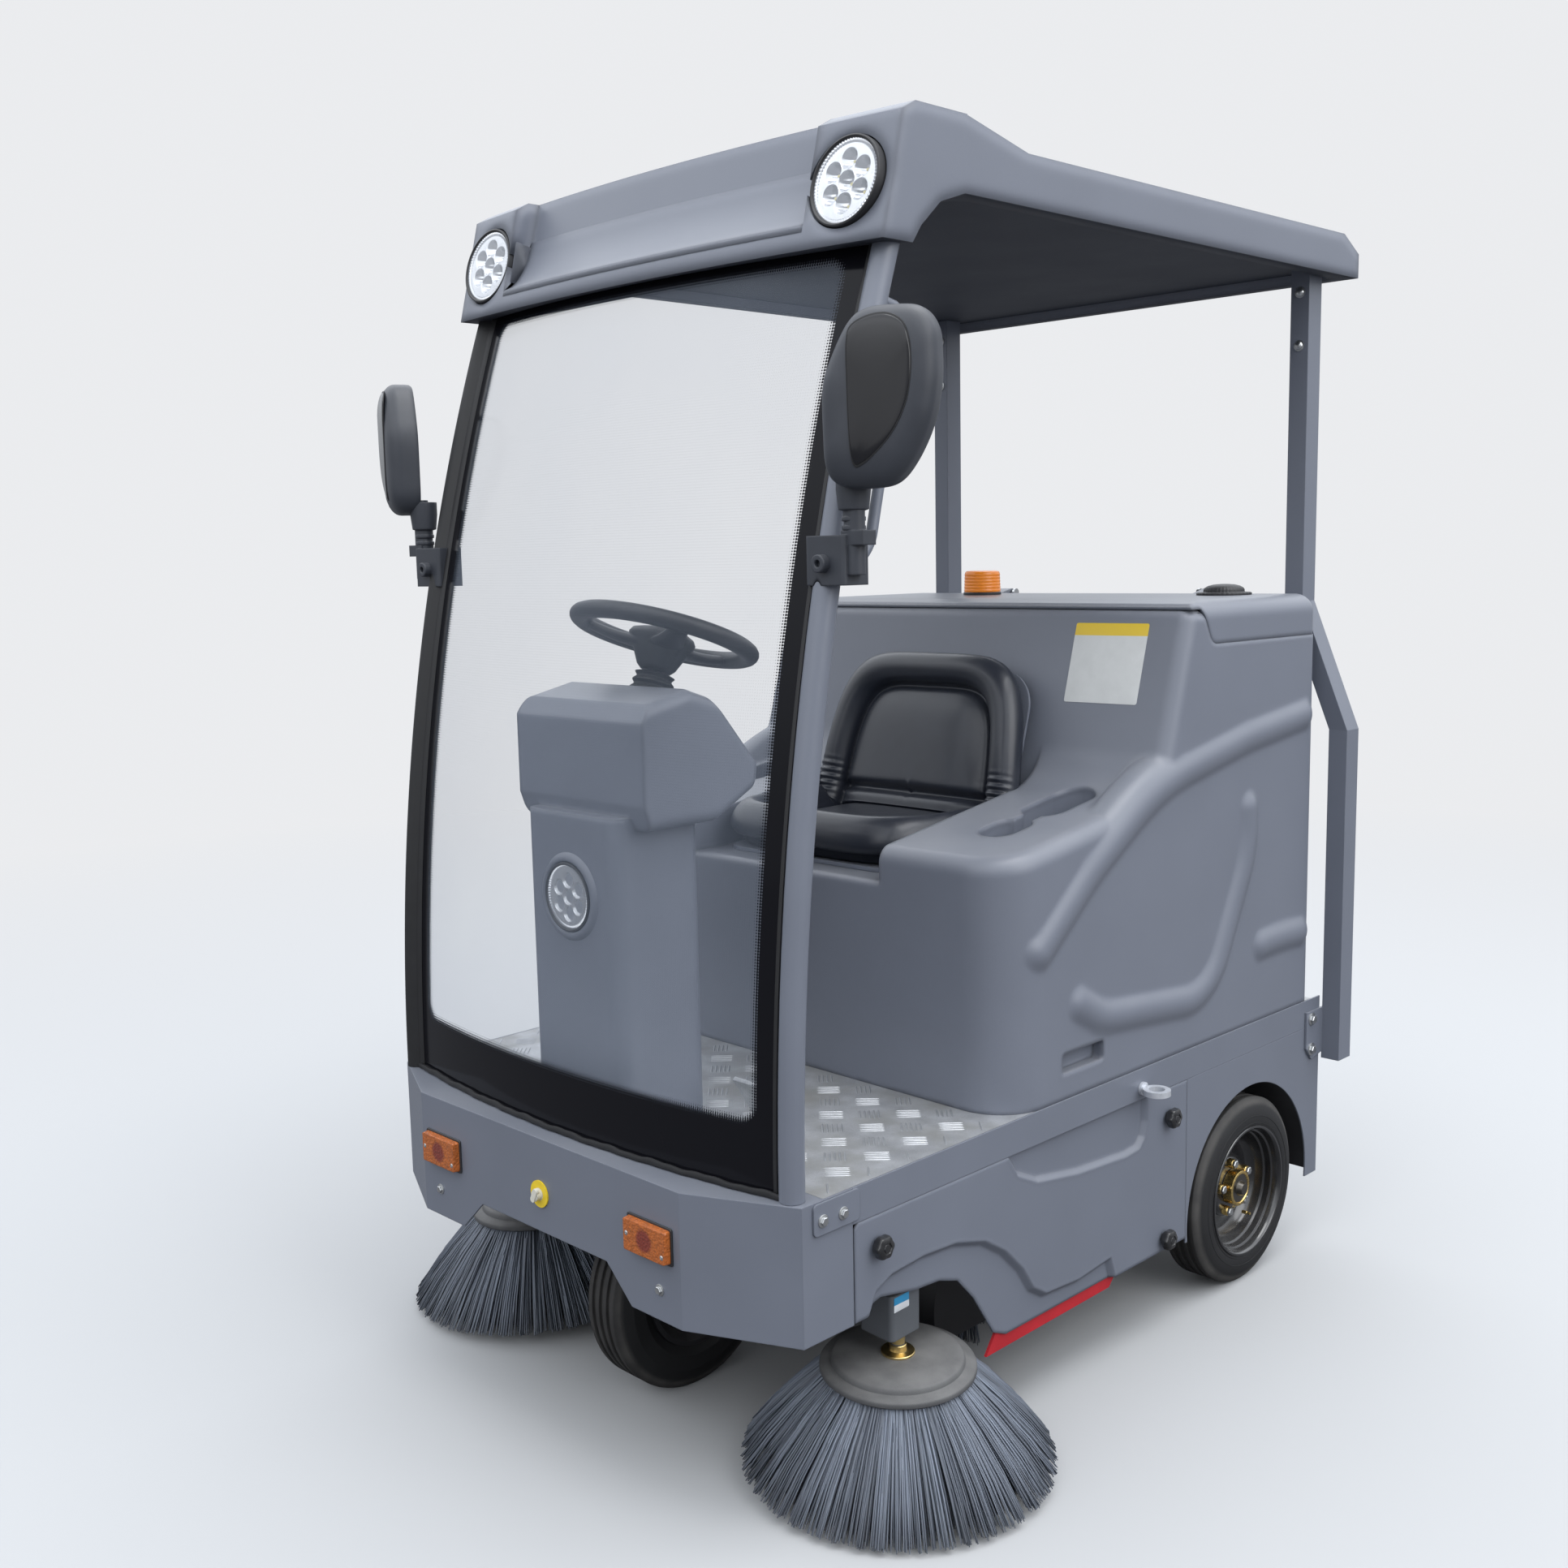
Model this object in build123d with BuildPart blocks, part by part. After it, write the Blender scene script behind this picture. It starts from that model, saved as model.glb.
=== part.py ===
from build123d import *
import os
from math import asin, atan2, cos, degrees, radians, sin, sqrt, tan

# Compact ride-on road sweeper with a windshield and a roof, built at its real size.
# The front faces -Y, the vehicle's left is +X and the tyres stand on Z = 0.
# Lengths along the vehicle run aft from the fascia's front face, through aft().

os.makedirs("parts", exist_ok=True)

# Overall
body_half_width = 510.0
roof_rear = 1653.0
deck_top = 510.0
sheet = 3.0
seat_gap = 0.3
run_gap = 0.05
lamp_proud = 14.0

# Fascia
fascia_half_front = 338.0
fascia_fold = 79.0
fascia_side_end = 183.0
fascia_bottom = 300.0
cutout_half_bottom = 224.0
cutout_half_top = 165.0
cutout_top = 354.5
ledge_rear = 125.0
marker_x = 272.0
marker_z = 422.0
marker_width = 96.0
marker_height = 52.0
key_z = 418.0
key_radius = 22.0

# Side plates, doors and skirts
band_bottom = 454.0
side_rear = 1572.0
side_rear_bottom = 140.0
door_front = 185.0
door_rear = 1078.0
door_bottom = 150.0
arch_centre = 1305.0
arch_radius = 222.0
arch_centre_z = 165.0
gusset_front = 100.0
gusset_rear = 196.0
gusset_bottom = 460.0
skirt_front = 505.0
skirt_rear = 868.0
skirt_bottom = 126.0
skirt_top = 182.0
skirt_thickness = 5.0
knob_radius = 19.0
knob_height = 22.0

# Frame
rail_inner = body_half_width - 161.0
rail_width = 30.0
rail_height = 60.0
rail_wall = 3.0
cross_depth = 40.0
head_radius = 32.0
head_bottom = 402.0

# Wheels
tyre_radius = 181.0
tyre_width = 92.0
rim_radius = 106.0
rim_flange = 4.0
rear_axle = 1291.0
rear_tyre_face = body_half_width + 7.0
spindle_radius = 15.0
spindle_end = rear_tyre_face - 31.0
hub_radius = 36.0
front_axle = 292.0
stem_radius = 20.0
fork_inner = 60.0
fork_leg = 9.0
fork_crown_bottom = 376.0
fork_crown = 14.0
front_pin_radius = 12.0

# Posts and windshield
post_radius = 19.0
post_wall = 2.5
post_x = body_half_width - 30.0
post_y = 90.0
post_lean_radius = 4100.0
glass_front = 38.0
glass_bulge_radius = 2500.0
glass_half_width = post_x - post_radius - 4.0
glass_thickness = 5.0
rear_tube_x = 38.0
rear_tube_y = 48.0
rear_tube_wall = 2.5
rear_post_upper = (body_half_width - 60.0, 1566.0)
rear_post_lower = (body_half_width + 23.0, 1600.0)
rear_bend_top = 1306.0
rear_bend_low = 1052.0
rear_post_foot = 380.0

# Roof
roof_half_width = body_half_width + 2.0
roof_pod_top = 2036.0
roof_deck_top = roof_pod_top - 33.0
roof_under = roof_pod_top - 110.0
roof_recess = 18.0
roof_skirt = 34.0
roof_bulge_radius = 3900.0
pod_inner = roof_half_width - 146.0
pod_bottom = roof_pod_top - 191.0
post_top = pod_bottom + 13.0
glass_top = pod_bottom + 27.0
pod_bottom_front = 238.0
pod_top_front = 282.0
pod_bottom_rear = 333.0
pod_rear = 420.0
roof_lamp_x = roof_half_width - 79.0
roof_lamp_z = pod_bottom + 89.0
lamp_radius = 56.0
lamp_depth = 22.0
lamp_body = 30.0
brow_back = 52.0
brow_lip_top = pod_bottom + 35.0
brow_ledge_top = pod_bottom + 51.0

# Console and steering
console_half = 118.0
console_front = 82.0
console_rear = 262.0
housing_half = 160.0
housing_front = 108.0
housing_rear = 345.0
housing_bottom = 1000.0
console_lamp_z = 887.0
console_lamp_proud = 9.0
wheel_hub = (295.0, 1290.0)
wheel_tilt = 20.0
wheel_radius = 160.0
wheel_tube = 13.0

# Seat
seat_half = 226.0
seat_front = 592.0
seat_rear = 940.0
seat_bottom = 876.0
seat_top = 958.0
back_half = 208.0
back_low = (935.0, 936.0)
back_high = (1012.0, 1200.0)
back_thickness = 78.0
pan_thickness = 5.0

# Moulded body shell and lid
shell_half = body_half_width - 2.0
shell_wall = 6.0
shell_front = 549.0
shell_rear = 1536.0
arm_front_z = 926.0
arm_rear = (985.0, 994.0)
arm_rear_round = 110.0
shell_top_front = (1078.0, 1306.0)
shell_edge_round = 30.0
shell_rear_round = 30.0
lid_seam = 1243.0
lid_corner = 1146.0
lid_top = 1322.0
lid_wall = 5.0
pedestal_top = 868.0
pedestal_half = seat_half + 12.0
plan_corner = 90.0

# Side brushes
brush_x = body_half_width - 42.0
brush_y = 324.0
brush_tip_radius = 240.0
brush_tip_z = 20.0
dish_radius = 122.0
dish_z = 168.0
brush_lean_out = 2.5
brush_lean_front = 2.0
arm_pivot_y = 610.0
arm_pivot_z = 352.0
arm_pin_radius = 8.0

# Main brush and hopper
main_brush_y = 700.0
main_brush_radius = 128.0
main_brush_z = 134.0
main_brush_half = rail_inner - 24.0
main_core_radius = 45.0
main_shaft_radius = 12.0
housing_gap = 18.0
hopper_front = 905.0
hopper_rear = 1588.0
hopper_half = rail_inner - 27.0
hopper_bottom = 120.0
hopper_top = 418.0
flange_bottom = 401.0
flange_height = 6.0

front_y = -(roof_rear - lamp_proud) / 2


def aft(distance):
    """Y of a point that lies this far behind the fascia's front face."""
    return front_y + distance


def side_sketch(x):
    """Plane across the vehicle at x, drawn as (Y, Z)."""
    return Plane.YZ.offset(x)


def cross_sketch(distance):
    """Plane facing the front at this distance aft, drawn as (X, Z)."""
    return Plane.XZ.offset(-aft(distance))


def name_of(side):
    return "left" if side > 0 else "right"


# The pods lean back, and a lamp's plane lies on the pod's face
pod_lean = degrees(atan2(pod_top_front - pod_bottom_front, roof_pod_top - pod_bottom))
lamp_bulge = roof_lamp_x**2 / (2 * roof_bulge_radius)
roof_lamp_front = pod_bottom_front + lamp_bulge + (roof_lamp_z - pod_bottom) * sin(radians(pod_lean))


# Welded frame: box-tube rails, cross tubes, steering head, spindle brackets and brush-arm pins
rail_top = deck_top - 4.0 - seat_gap
rail_bottom = rail_top - rail_height
rail_x = rail_inner + rail_width / 2
rail_start = 190.0
rail_end = 1560.0
cross_places = (210.0, 400.0, 886.0, 1540.0)
bracket_thickness = 10.0
bracket_depth = 90.0
rail_outer = rail_inner + rail_width

with BuildPart() as frame:
    for side in (1, -1):
        with BuildSketch(cross_sketch(rail_start)):
            with Locations((side * rail_x, rail_top - rail_height / 2)):
                Rectangle(rail_width, rail_height)
                Rectangle(rail_width - 2 * rail_wall, rail_height - 2 * rail_wall, mode=Mode.SUBTRACT)
        extrude(amount=-(rail_end - rail_start))
    for place in cross_places:
        with BuildSketch(Plane.YZ):
            with Locations((aft(place), rail_top - rail_height / 2)):
                Rectangle(cross_depth, rail_height)
                Rectangle(cross_depth - 2 * rail_wall, rail_height - 2 * rail_wall, mode=Mode.SUBTRACT)
        extrude(amount=rail_inner, both=True)
    # Steering head between the two front cross tubes
    head_span = cross_places[1] - cross_places[0] - cross_depth
    head_centre = (cross_places[0] + cross_places[1]) / 2
    with BuildSketch(Plane.XY.offset(rail_top - 8.0)):
        with Locations((0, aft(head_centre))):
            Rectangle(150, head_span)
    extrude(amount=8.0)
    with BuildSketch(Plane.XY.offset(head_bottom)):
        with Locations((0, aft(front_axle))):
            Circle(head_radius)
    extrude(amount=rail_top - head_bottom)
    with BuildSketch(Plane.XY.offset(head_bottom)):
        with Locations((0, aft(front_axle))):
            Circle(stem_radius + run_gap)
    extrude(amount=rail_top - head_bottom, mode=Mode.SUBTRACT)
    # Rear wheel spindles on brackets that hang from the rails
    for side in (1, -1):
        with BuildSketch(side_sketch(side * rail_outer)):
            with BuildLine():
                Polyline(
                    (aft(rear_axle) - bracket_depth, rail_top - 6),
                    (aft(rear_axle) + bracket_depth, rail_top - 6),
                    (aft(rear_axle) + 42, tyre_radius - 40),
                    (aft(rear_axle) - 42, tyre_radius - 40),
                    close=True,
                )
            make_face()
        extrude(amount=side * bracket_thickness)
        with BuildSketch(side_sketch(side * rail_outer)):
            with Locations((aft(rear_axle), tyre_radius)):
                Circle(spindle_radius)
        extrude(amount=side * (spindle_end - rail_outer))
        with BuildSketch(side_sketch(side * (rail_outer + bracket_thickness))):
            with Locations((aft(rear_axle), tyre_radius)):
                Circle(spindle_radius + 9)
        extrude(amount=side * 12.0)
        # Ledge that the hopper's flange slides on
        with BuildSketch(cross_sketch(hopper_front + 10)):
            with Locations((side * (rail_inner - 10), flange_bottom - seat_gap - 2)):
                Rectangle(20, 4)
            with Locations((side * (rail_inner - 1.5), (flange_bottom + rail_bottom) / 2)):
                Rectangle(sheet, rail_bottom - flange_bottom + 8)
        extrude(amount=-(rail_end - hopper_front - 20))
        # Brush-arm hanger and its pin
        with BuildSketch(side_sketch(side * rail_outer)):
            with BuildLine():
                Polyline(
                    (aft(arm_pivot_y) - 45, rail_top - 6),
                    (aft(arm_pivot_y) + 45, rail_top - 6),
                    (aft(arm_pivot_y) + 20, arm_pivot_z - 22),
                    (aft(arm_pivot_y) - 20, arm_pivot_z - 22),
                    close=True,
                )
            make_face()
        extrude(amount=side * 6.0)
        with BuildSketch(side_sketch(side * rail_outer)):
            with Locations((aft(arm_pivot_y), arm_pivot_z)):
                Circle(arm_pin_radius)
        extrude(amount=side * 62.0)
frame.part.label = "frame"
export_step(frame.part, "parts/frame.step")

# Front fascia: one folded sheet with a ledge flange on top
with BuildPart() as front_fascia:
    fascia_half = body_half_width - seat_gap
    with BuildSketch(Plane.XY.offset(fascia_bottom)):
        with BuildLine():
            Polyline(
                (-fascia_half, aft(fascia_side_end)),
                (-fascia_half, aft(fascia_fold)),
                (-fascia_half_front, aft(0)),
                (fascia_half_front, aft(0)),
                (fascia_half, aft(fascia_fold)),
                (fascia_half, aft(fascia_side_end)),
                close=True,
            )
        make_face()
        offset(amount=-sheet, mode=Mode.SUBTRACT)
        with Locations((0, aft(fascia_side_end))):
            Rectangle(2 * fascia_half - 2 * sheet, 2 * sheet + 0.2, mode=Mode.SUBTRACT)
    extrude(amount=deck_top - fascia_bottom)
    with BuildSketch(Plane.XY.offset(deck_top)):
        with BuildLine():
            Polyline(
                (-fascia_half, aft(ledge_rear)),
                (-fascia_half, aft(fascia_fold)),
                (-fascia_half_front, aft(0)),
                (fascia_half_front, aft(0)),
                (fascia_half, aft(fascia_fold)),
                (fascia_half, aft(ledge_rear)),
                close=True,
            )
        make_face()
    extrude(amount=-sheet)
    with BuildSketch(cross_sketch(-1)):
        with BuildLine():
            Polyline(
                (-cutout_half_bottom, fascia_bottom - 1),
                (-cutout_half_top, cutout_top),
                (cutout_half_top, cutout_top),
                (cutout_half_bottom, fascia_bottom - 1),
                close=True,
            )
        make_face()
    extrude(amount=-(sheet + 2), mode=Mode.SUBTRACT)
front_fascia.part.label = "front_fascia"
export_step(front_fascia.part, "parts/front_fascia.step")

with BuildPart() as marker_lamps:
    with BuildSketch(cross_sketch(-seat_gap)):
        with Locations((marker_x, marker_z), (-marker_x, marker_z)):
            RectangleRounded(marker_width, marker_height, 4)
    extrude(amount=lamp_proud - seat_gap, taper=6)
marker_lamps.part.label = "marker_lamps"
export_step(marker_lamps.part, "parts/marker_lamps.step")

with BuildPart() as key_switch:
    with BuildSketch(cross_sketch(-seat_gap)):
        with Locations((0, key_z)):
            Circle(key_radius)
    extrude(amount=2.5)
    with BuildSketch(cross_sketch(-seat_gap - 2.5)):
        with Locations((0, key_z)):
            Circle(9)
    extrude(amount=9.0, taper=4)
key_switch.part.label = "key_switch"
export_step(key_switch.part, "parts/key_switch.step")

# Tread-plate deck
floor_thickness = 4.0
with BuildPart() as floor_plate:
    with BuildSketch(Plane.XY.offset(deck_top)):
        with Locations((0, (aft(ledge_rear) + aft(side_rear - 30)) / 2 + seat_gap / 2)):
            Rectangle(
                2 * (body_half_width - sheet - 2 * seat_gap),
                side_rear - 30 - ledge_rear - seat_gap,
            )
    extrude(amount=-floor_thickness)
floor_plate.part.label = "floor_plate"
export_step(floor_plate.part, "parts/floor_plate.step")

# Side plates: a band along the deck with a lapped corner plate, and a panel with the wheel arch under it
for side in (1, -1):
    with BuildPart() as side_plate:
        with BuildSketch(side_sketch(side * (body_half_width - sheet))):
            with Locations((aft((fascia_side_end + side_rear + seat_gap) / 2), (deck_top + band_bottom) / 2)):
                Rectangle(side_rear - fascia_side_end - seat_gap, deck_top - band_bottom)
        extrude(amount=side * sheet)
        with BuildSketch(side_sketch(side * body_half_width)):
            with Locations((aft((gusset_front + gusset_rear) / 2), (deck_top - 2 + gusset_bottom) / 2)):
                RectangleRounded(gusset_rear - gusset_front, deck_top - 2 - gusset_bottom, 8)
        extrude(amount=side * sheet)
    side_plate.part.label = f"side_plate_{name_of(side)}"
    export_step(side_plate.part, f"parts/{side_plate.part.label}.step")

    with BuildPart() as arch_panel:
        with BuildSketch(side_sketch(side * (body_half_width - sheet))):
            with Locations((aft((door_rear + side_rear) / 2), (band_bottom + side_rear_bottom) / 2)):
                Rectangle(side_rear - door_rear, band_bottom - side_rear_bottom)
            with Locations((aft(arch_centre), arch_centre_z)):
                Circle(arch_radius, mode=Mode.SUBTRACT)
            with Locations((aft(arch_centre), arch_centre_z - arch_radius / 2 - 40)):
                Rectangle(2 * arch_radius - 2, arch_radius + 80, mode=Mode.SUBTRACT)
        extrude(amount=side * sheet)
    arch_panel.part.label = f"arch_panel_{name_of(side)}"
    export_step(arch_panel.part, f"parts/{arch_panel.part.label}.step")

# Side doors with the brush opening, held by knobs
knob_places = ((235.0, 407.0), (1015.0, 400.0), (1004.0, 174.0))
relief_depth = 9.0
# Corners of the two reliefs moulded into a door, as (aft, up)
arch_relief = (
    (206.0, 285.0), (230.0, 336.0), (267.0, 352.0), (341.0, 357.0), (418.0, 352.0), (489.0, 332.0), (541.0, 299.0),
    (588.0, 253.0), (616.0, 211.0), (650.0, 190.0), (742.0, 183.0), (838.0, 191.0), (862.0, 120.0), (206.0, 120.0),
)
pocket_relief = (
    (537.0, 470.0), (573.0, 415.0), (627.0, 389.0), (741.0, 371.0), (886.0, 361.0), (924.0, 364.0), (941.0, 381.0),
    (949.0, 409.0), (949.0, 470.0),
)


def door_blank(side, start, depth):
    """The door's outline as a plate from start, going inwards by depth."""
    with BuildPart() as blank:
        with BuildSketch(side_sketch(side * start)):
            with BuildLine():
                Polyline(
                    (aft(door_front) + seat_gap + 8, band_bottom - seat_gap),
                    (aft(door_rear) - seat_gap, band_bottom - seat_gap),
                    (aft(door_rear) - seat_gap, door_bottom),
                    (aft(552), door_bottom),
                    (aft(520), door_bottom + 14),
                    (aft(470), 240),
                    (aft(430), 283),
                    (aft(385), 298),
                    (aft(330), 302),
                    (aft(250), 318),
                    (aft(225), 312),
                    (aft(212), fascia_bottom + 2),
                    (aft(door_front) + seat_gap, fascia_bottom + 2),
                    (aft(door_front) + seat_gap, band_bottom - seat_gap - 8),
                    close=True,
                )
            make_face()
        extrude(amount=-side * depth)
    return blank.part


def door_relief(side, corners, start, spread):
    """A relief's space from start inwards, with sloping walls and its outline grown by spread."""
    with BuildPart() as relief:
        with BuildSketch(Plane(origin=(side * start, 0, 0), x_dir=(0, -side, 0), z_dir=(-side, 0, 0))):
            with BuildLine():
                Polyline(*[(-side * aft(y), z) for y, z in corners], close=True)
            make_face()
            if spread:
                offset(amount=spread, kind=Kind.INTERSECTION)
        extrude(amount=relief_depth, taper=42)
    return relief.part


for side in (1, -1):
    with BuildPart() as relief_backs:
        add(door_relief(side, arch_relief, body_half_width - sheet, 3.0))
        add(door_relief(side, pocket_relief, body_half_width - sheet, 3.0))
    with BuildPart() as side_door:
        add(door_blank(side, body_half_width - sheet, relief_depth))
        add(relief_backs.part, mode=Mode.INTERSECT)
        add(door_blank(side, body_half_width, sheet))
        add(door_relief(side, arch_relief, body_half_width, 0.0), mode=Mode.SUBTRACT)
        add(door_relief(side, pocket_relief, body_half_width, 0.0), mode=Mode.SUBTRACT)
    side_door.part.label = f"side_door_{name_of(side)}"
    export_step(side_door.part, f"parts/{side_door.part.label}.step")

with BuildPart() as door_knobs:
    for side in (1, -1):
        for place, height in knob_places:
            with BuildSketch(side_sketch(side * (body_half_width + seat_gap))):
                with Locations((aft(place), height)):
                    Circle(knob_radius)
            extrude(amount=side * knob_height, taper=6)
door_knobs.part.label = "door_knobs"
export_step(door_knobs.part, "parts/door_knobs.step")

with BuildPart() as side_skirts:
    for side in (1, -1):
        with BuildSketch(side_sketch(side * (body_half_width - sheet - relief_depth - seat_gap))):
            with BuildLine():
                Polyline(
                    (aft(skirt_front) + 42, skirt_top),
                    (aft(skirt_rear) - 4, skirt_top),
                    (aft(skirt_rear), door_bottom - 4),
                    (aft(skirt_rear) - 18, skirt_bottom + 2),
                    (aft(skirt_front), skirt_bottom),
                    close=True,
                )
            make_face()
        extrude(amount=-side * skirt_thickness)
side_skirts.part.label = "side_skirts"
export_step(side_skirts.part, "parts/side_skirts.step")

eye_radius = 14.0
eye_wire = 5.0
with BuildPart() as eye_bolts:
    for side in (1, -1):
        eye_x = side * (body_half_width + seat_gap)
        with BuildSketch(side_sketch(eye_x)):
            with Locations((aft(930), 474)):
                Circle(12)
        extrude(amount=side * 5)
        with BuildSketch(side_sketch(eye_x + side * 5)):
            with Locations((aft(930), 474)):
                Circle(7)
        extrude(amount=side * 8)
        eye_centre = eye_x + side * (13 + eye_radius + eye_wire - 2)
        with BuildSketch(Plane.XY.offset(474 - eye_wire)):
            with Locations((eye_centre, aft(930))):
                Circle(eye_radius + 2 * eye_wire)
        extrude(amount=2 * eye_wire)
        with BuildSketch(Plane.XY.offset(474 - eye_wire)):
            with Locations((eye_centre, aft(930))):
                Circle(eye_radius)
        extrude(amount=2 * eye_wire, mode=Mode.SUBTRACT)
eye_bolts.part.label = "eye_bolts"
export_step(eye_bolts.part, "parts/eye_bolts.step")

# Front posts: round tubes bent back along one large arc
lean_axis_y = aft(post_y) + post_lean_radius
post_angle = degrees(asin((post_top - deck_top) / post_lean_radius))
lean_axis = Axis((0, lean_axis_y, deck_top + seat_gap), (-1, 0, 0))
with BuildPart() as front_posts:
    with BuildSketch(Plane.XY.offset(deck_top + seat_gap)):
        with Locations((post_x, aft(post_y)), (-post_x, aft(post_y))):
            Circle(post_radius)
            Circle(post_radius - post_wall, mode=Mode.SUBTRACT)
    revolve(axis=lean_axis, revolution_arc=post_angle)
front_posts.part.label = "front_posts"
export_step(front_posts.part, "parts/front_posts.step")


def post_aft(z):
    """Distance aft of the front posts' centre line at height z."""
    rise = z - deck_top - seat_gap
    return post_y + post_lean_radius - sqrt(post_lean_radius**2 - rise**2)


# Windshield: one sheet of glass, curved like the posts and bulging forward
glass_bottom = deck_top + seat_gap
glass_axis_y = aft(glass_front) + glass_bulge_radius
glass_half_angle = 12.0
with BuildPart() as windshield:
    turned = Plane(
        origin=(0, glass_axis_y, glass_bottom),
        x_dir=(sin(radians(glass_half_angle)), cos(radians(glass_half_angle)), 0),
        z_dir=(cos(radians(glass_half_angle)), -sin(radians(glass_half_angle)), 0),
    )
    lean_sweep = degrees(asin((glass_top - glass_bottom) / post_lean_radius))
    with BuildSketch(turned):
        with BuildLine():
            centre = (post_lean_radius - glass_bulge_radius, 0)
            outer = CenterArc(centre, post_lean_radius, 180, -lean_sweep)
            inner = CenterArc(centre, post_lean_radius - glass_thickness, 180, -lean_sweep)
            Line(outer @ 0, inner @ 0)
            Line(outer @ 1, inner @ 1)
        make_face()
    revolve(
        axis=Axis((0, glass_axis_y, 0), (0, 0, 1)),
        revolution_arc=2 * glass_half_angle,
    )
    with BuildSketch(Plane.XY.offset(glass_bottom - 1)):
        with Locations((0, aft(200))):
            Rectangle(2 * glass_half_width, 900)
    extrude(amount=glass_top - glass_bottom + 10, mode=Mode.INTERSECT)
windshield.part.label = "windshield"
export_step(windshield.part, "parts/windshield.step")

# Rear posts: box tubes that bend out and back to clear the moulded shell
with BuildPart() as rear_posts:
    for side in (1, -1):
        levels = (
            (roof_under + roof_recess - seat_gap, rear_post_upper),
            (rear_bend_top, rear_post_upper),
            (rear_bend_low, rear_post_lower),
            (rear_post_foot, rear_post_lower),
        )
        for shrink, mode in ((0.0, Mode.ADD), (rear_tube_wall, Mode.SUBTRACT)):
            for upper, lower in zip(levels, levels[1:]):
                for z, (x, y) in (upper, lower):
                    with BuildSketch(Plane.XY.offset(z)):
                        with Locations((side * x, aft(y))):
                            Rectangle(rear_tube_x - 2 * shrink, rear_tube_y - 2 * shrink)
                loft(mode=mode, ruled=True)
        # Foot bracket bolted to the side plate
        with BuildSketch(side_sketch(side * (body_half_width + seat_gap))):
            with BuildLine():
                Polyline(
                    (aft(rear_post_lower[1] - 88), deck_top - 24),
                    (aft(rear_post_lower[1]), deck_top - 24),
                    (aft(rear_post_lower[1]), deck_top - 112),
                    (aft(rear_post_lower[1] - 66), deck_top - 124),
                    (aft(rear_post_lower[1] - 88), deck_top - 98),
                    close=True,
                )
            make_face()
        extrude(amount=side * 4.5)
rear_posts.part.label = "rear_posts"
export_step(rear_posts.part, "parts/rear_posts.step")

# Roof: one moulded slab with a raised brow that bulges forward, lamp pods and a recess below
roof_axis_y = aft(pod_bottom_front) + roof_bulge_radius
roof_turn = 8.5
turned_roof = Plane(
    origin=(0, roof_axis_y, 0),
    x_dir=(sin(radians(roof_turn)), cos(radians(roof_turn)), 0),
    z_dir=(cos(radians(roof_turn)), -sin(radians(roof_turn)), 0),
)
roof_spin = Axis((0, roof_axis_y, 0), (0, 0, 1))


def from_roof_axis(distance):
    """Place a length aft on the turned plane, which is measured from the bulge's own axis."""
    return aft(distance) - roof_axis_y


with BuildPart() as brow_recess:
    with BuildSketch(turned_roof):
        with BuildLine():
            Polyline(
                (from_roof_axis(pod_bottom_front - 60), brow_lip_top),
                (from_roof_axis(pod_bottom_front + 8), brow_lip_top),
                (from_roof_axis(pod_bottom_front + brow_back), brow_ledge_top),
                (from_roof_axis(pod_top_front + brow_back), roof_pod_top + 10),
                (from_roof_axis(pod_bottom_front - 60), roof_pod_top + 10),
                close=True,
            )
        make_face()
    revolve(axis=roof_spin, revolution_arc=2 * roof_turn)
    with BuildSketch(Plane.XY.offset(pod_bottom)):
        with Locations((0, aft(pod_bottom_front))):
            Rectangle(2 * pod_inner, 600)
    extrude(amount=300, mode=Mode.INTERSECT)

with BuildPart() as glass_slot:
    with BuildSketch(turned):
        with BuildLine():
            outer = CenterArc(centre, post_lean_radius + 9, 180, -lean_sweep - 0.4)
            inner = CenterArc(centre, post_lean_radius - glass_thickness - 9, 180, -lean_sweep - 0.4)
            Line(outer @ 0, inner @ 0)
            Line(outer @ 1, inner @ 1)
        make_face()
    revolve(axis=Axis((0, glass_axis_y, 0), (0, 0, 1)), revolution_arc=2 * glass_half_angle)
    with BuildSketch(Plane.XY.offset(pod_bottom - 5)):
        with Locations((0, aft(200))):
            Rectangle(2 * glass_half_width + 2, 900)
    extrude(amount=300, mode=Mode.INTERSECT)

with BuildPart() as post_sockets:
    with BuildSketch(Plane.XY.offset(deck_top + seat_gap)):
        with Locations((post_x, aft(post_y)), (-post_x, aft(post_y))):
            Circle(post_radius + seat_gap)
    revolve(axis=lean_axis, revolution_arc=post_angle + 0.01)

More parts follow.
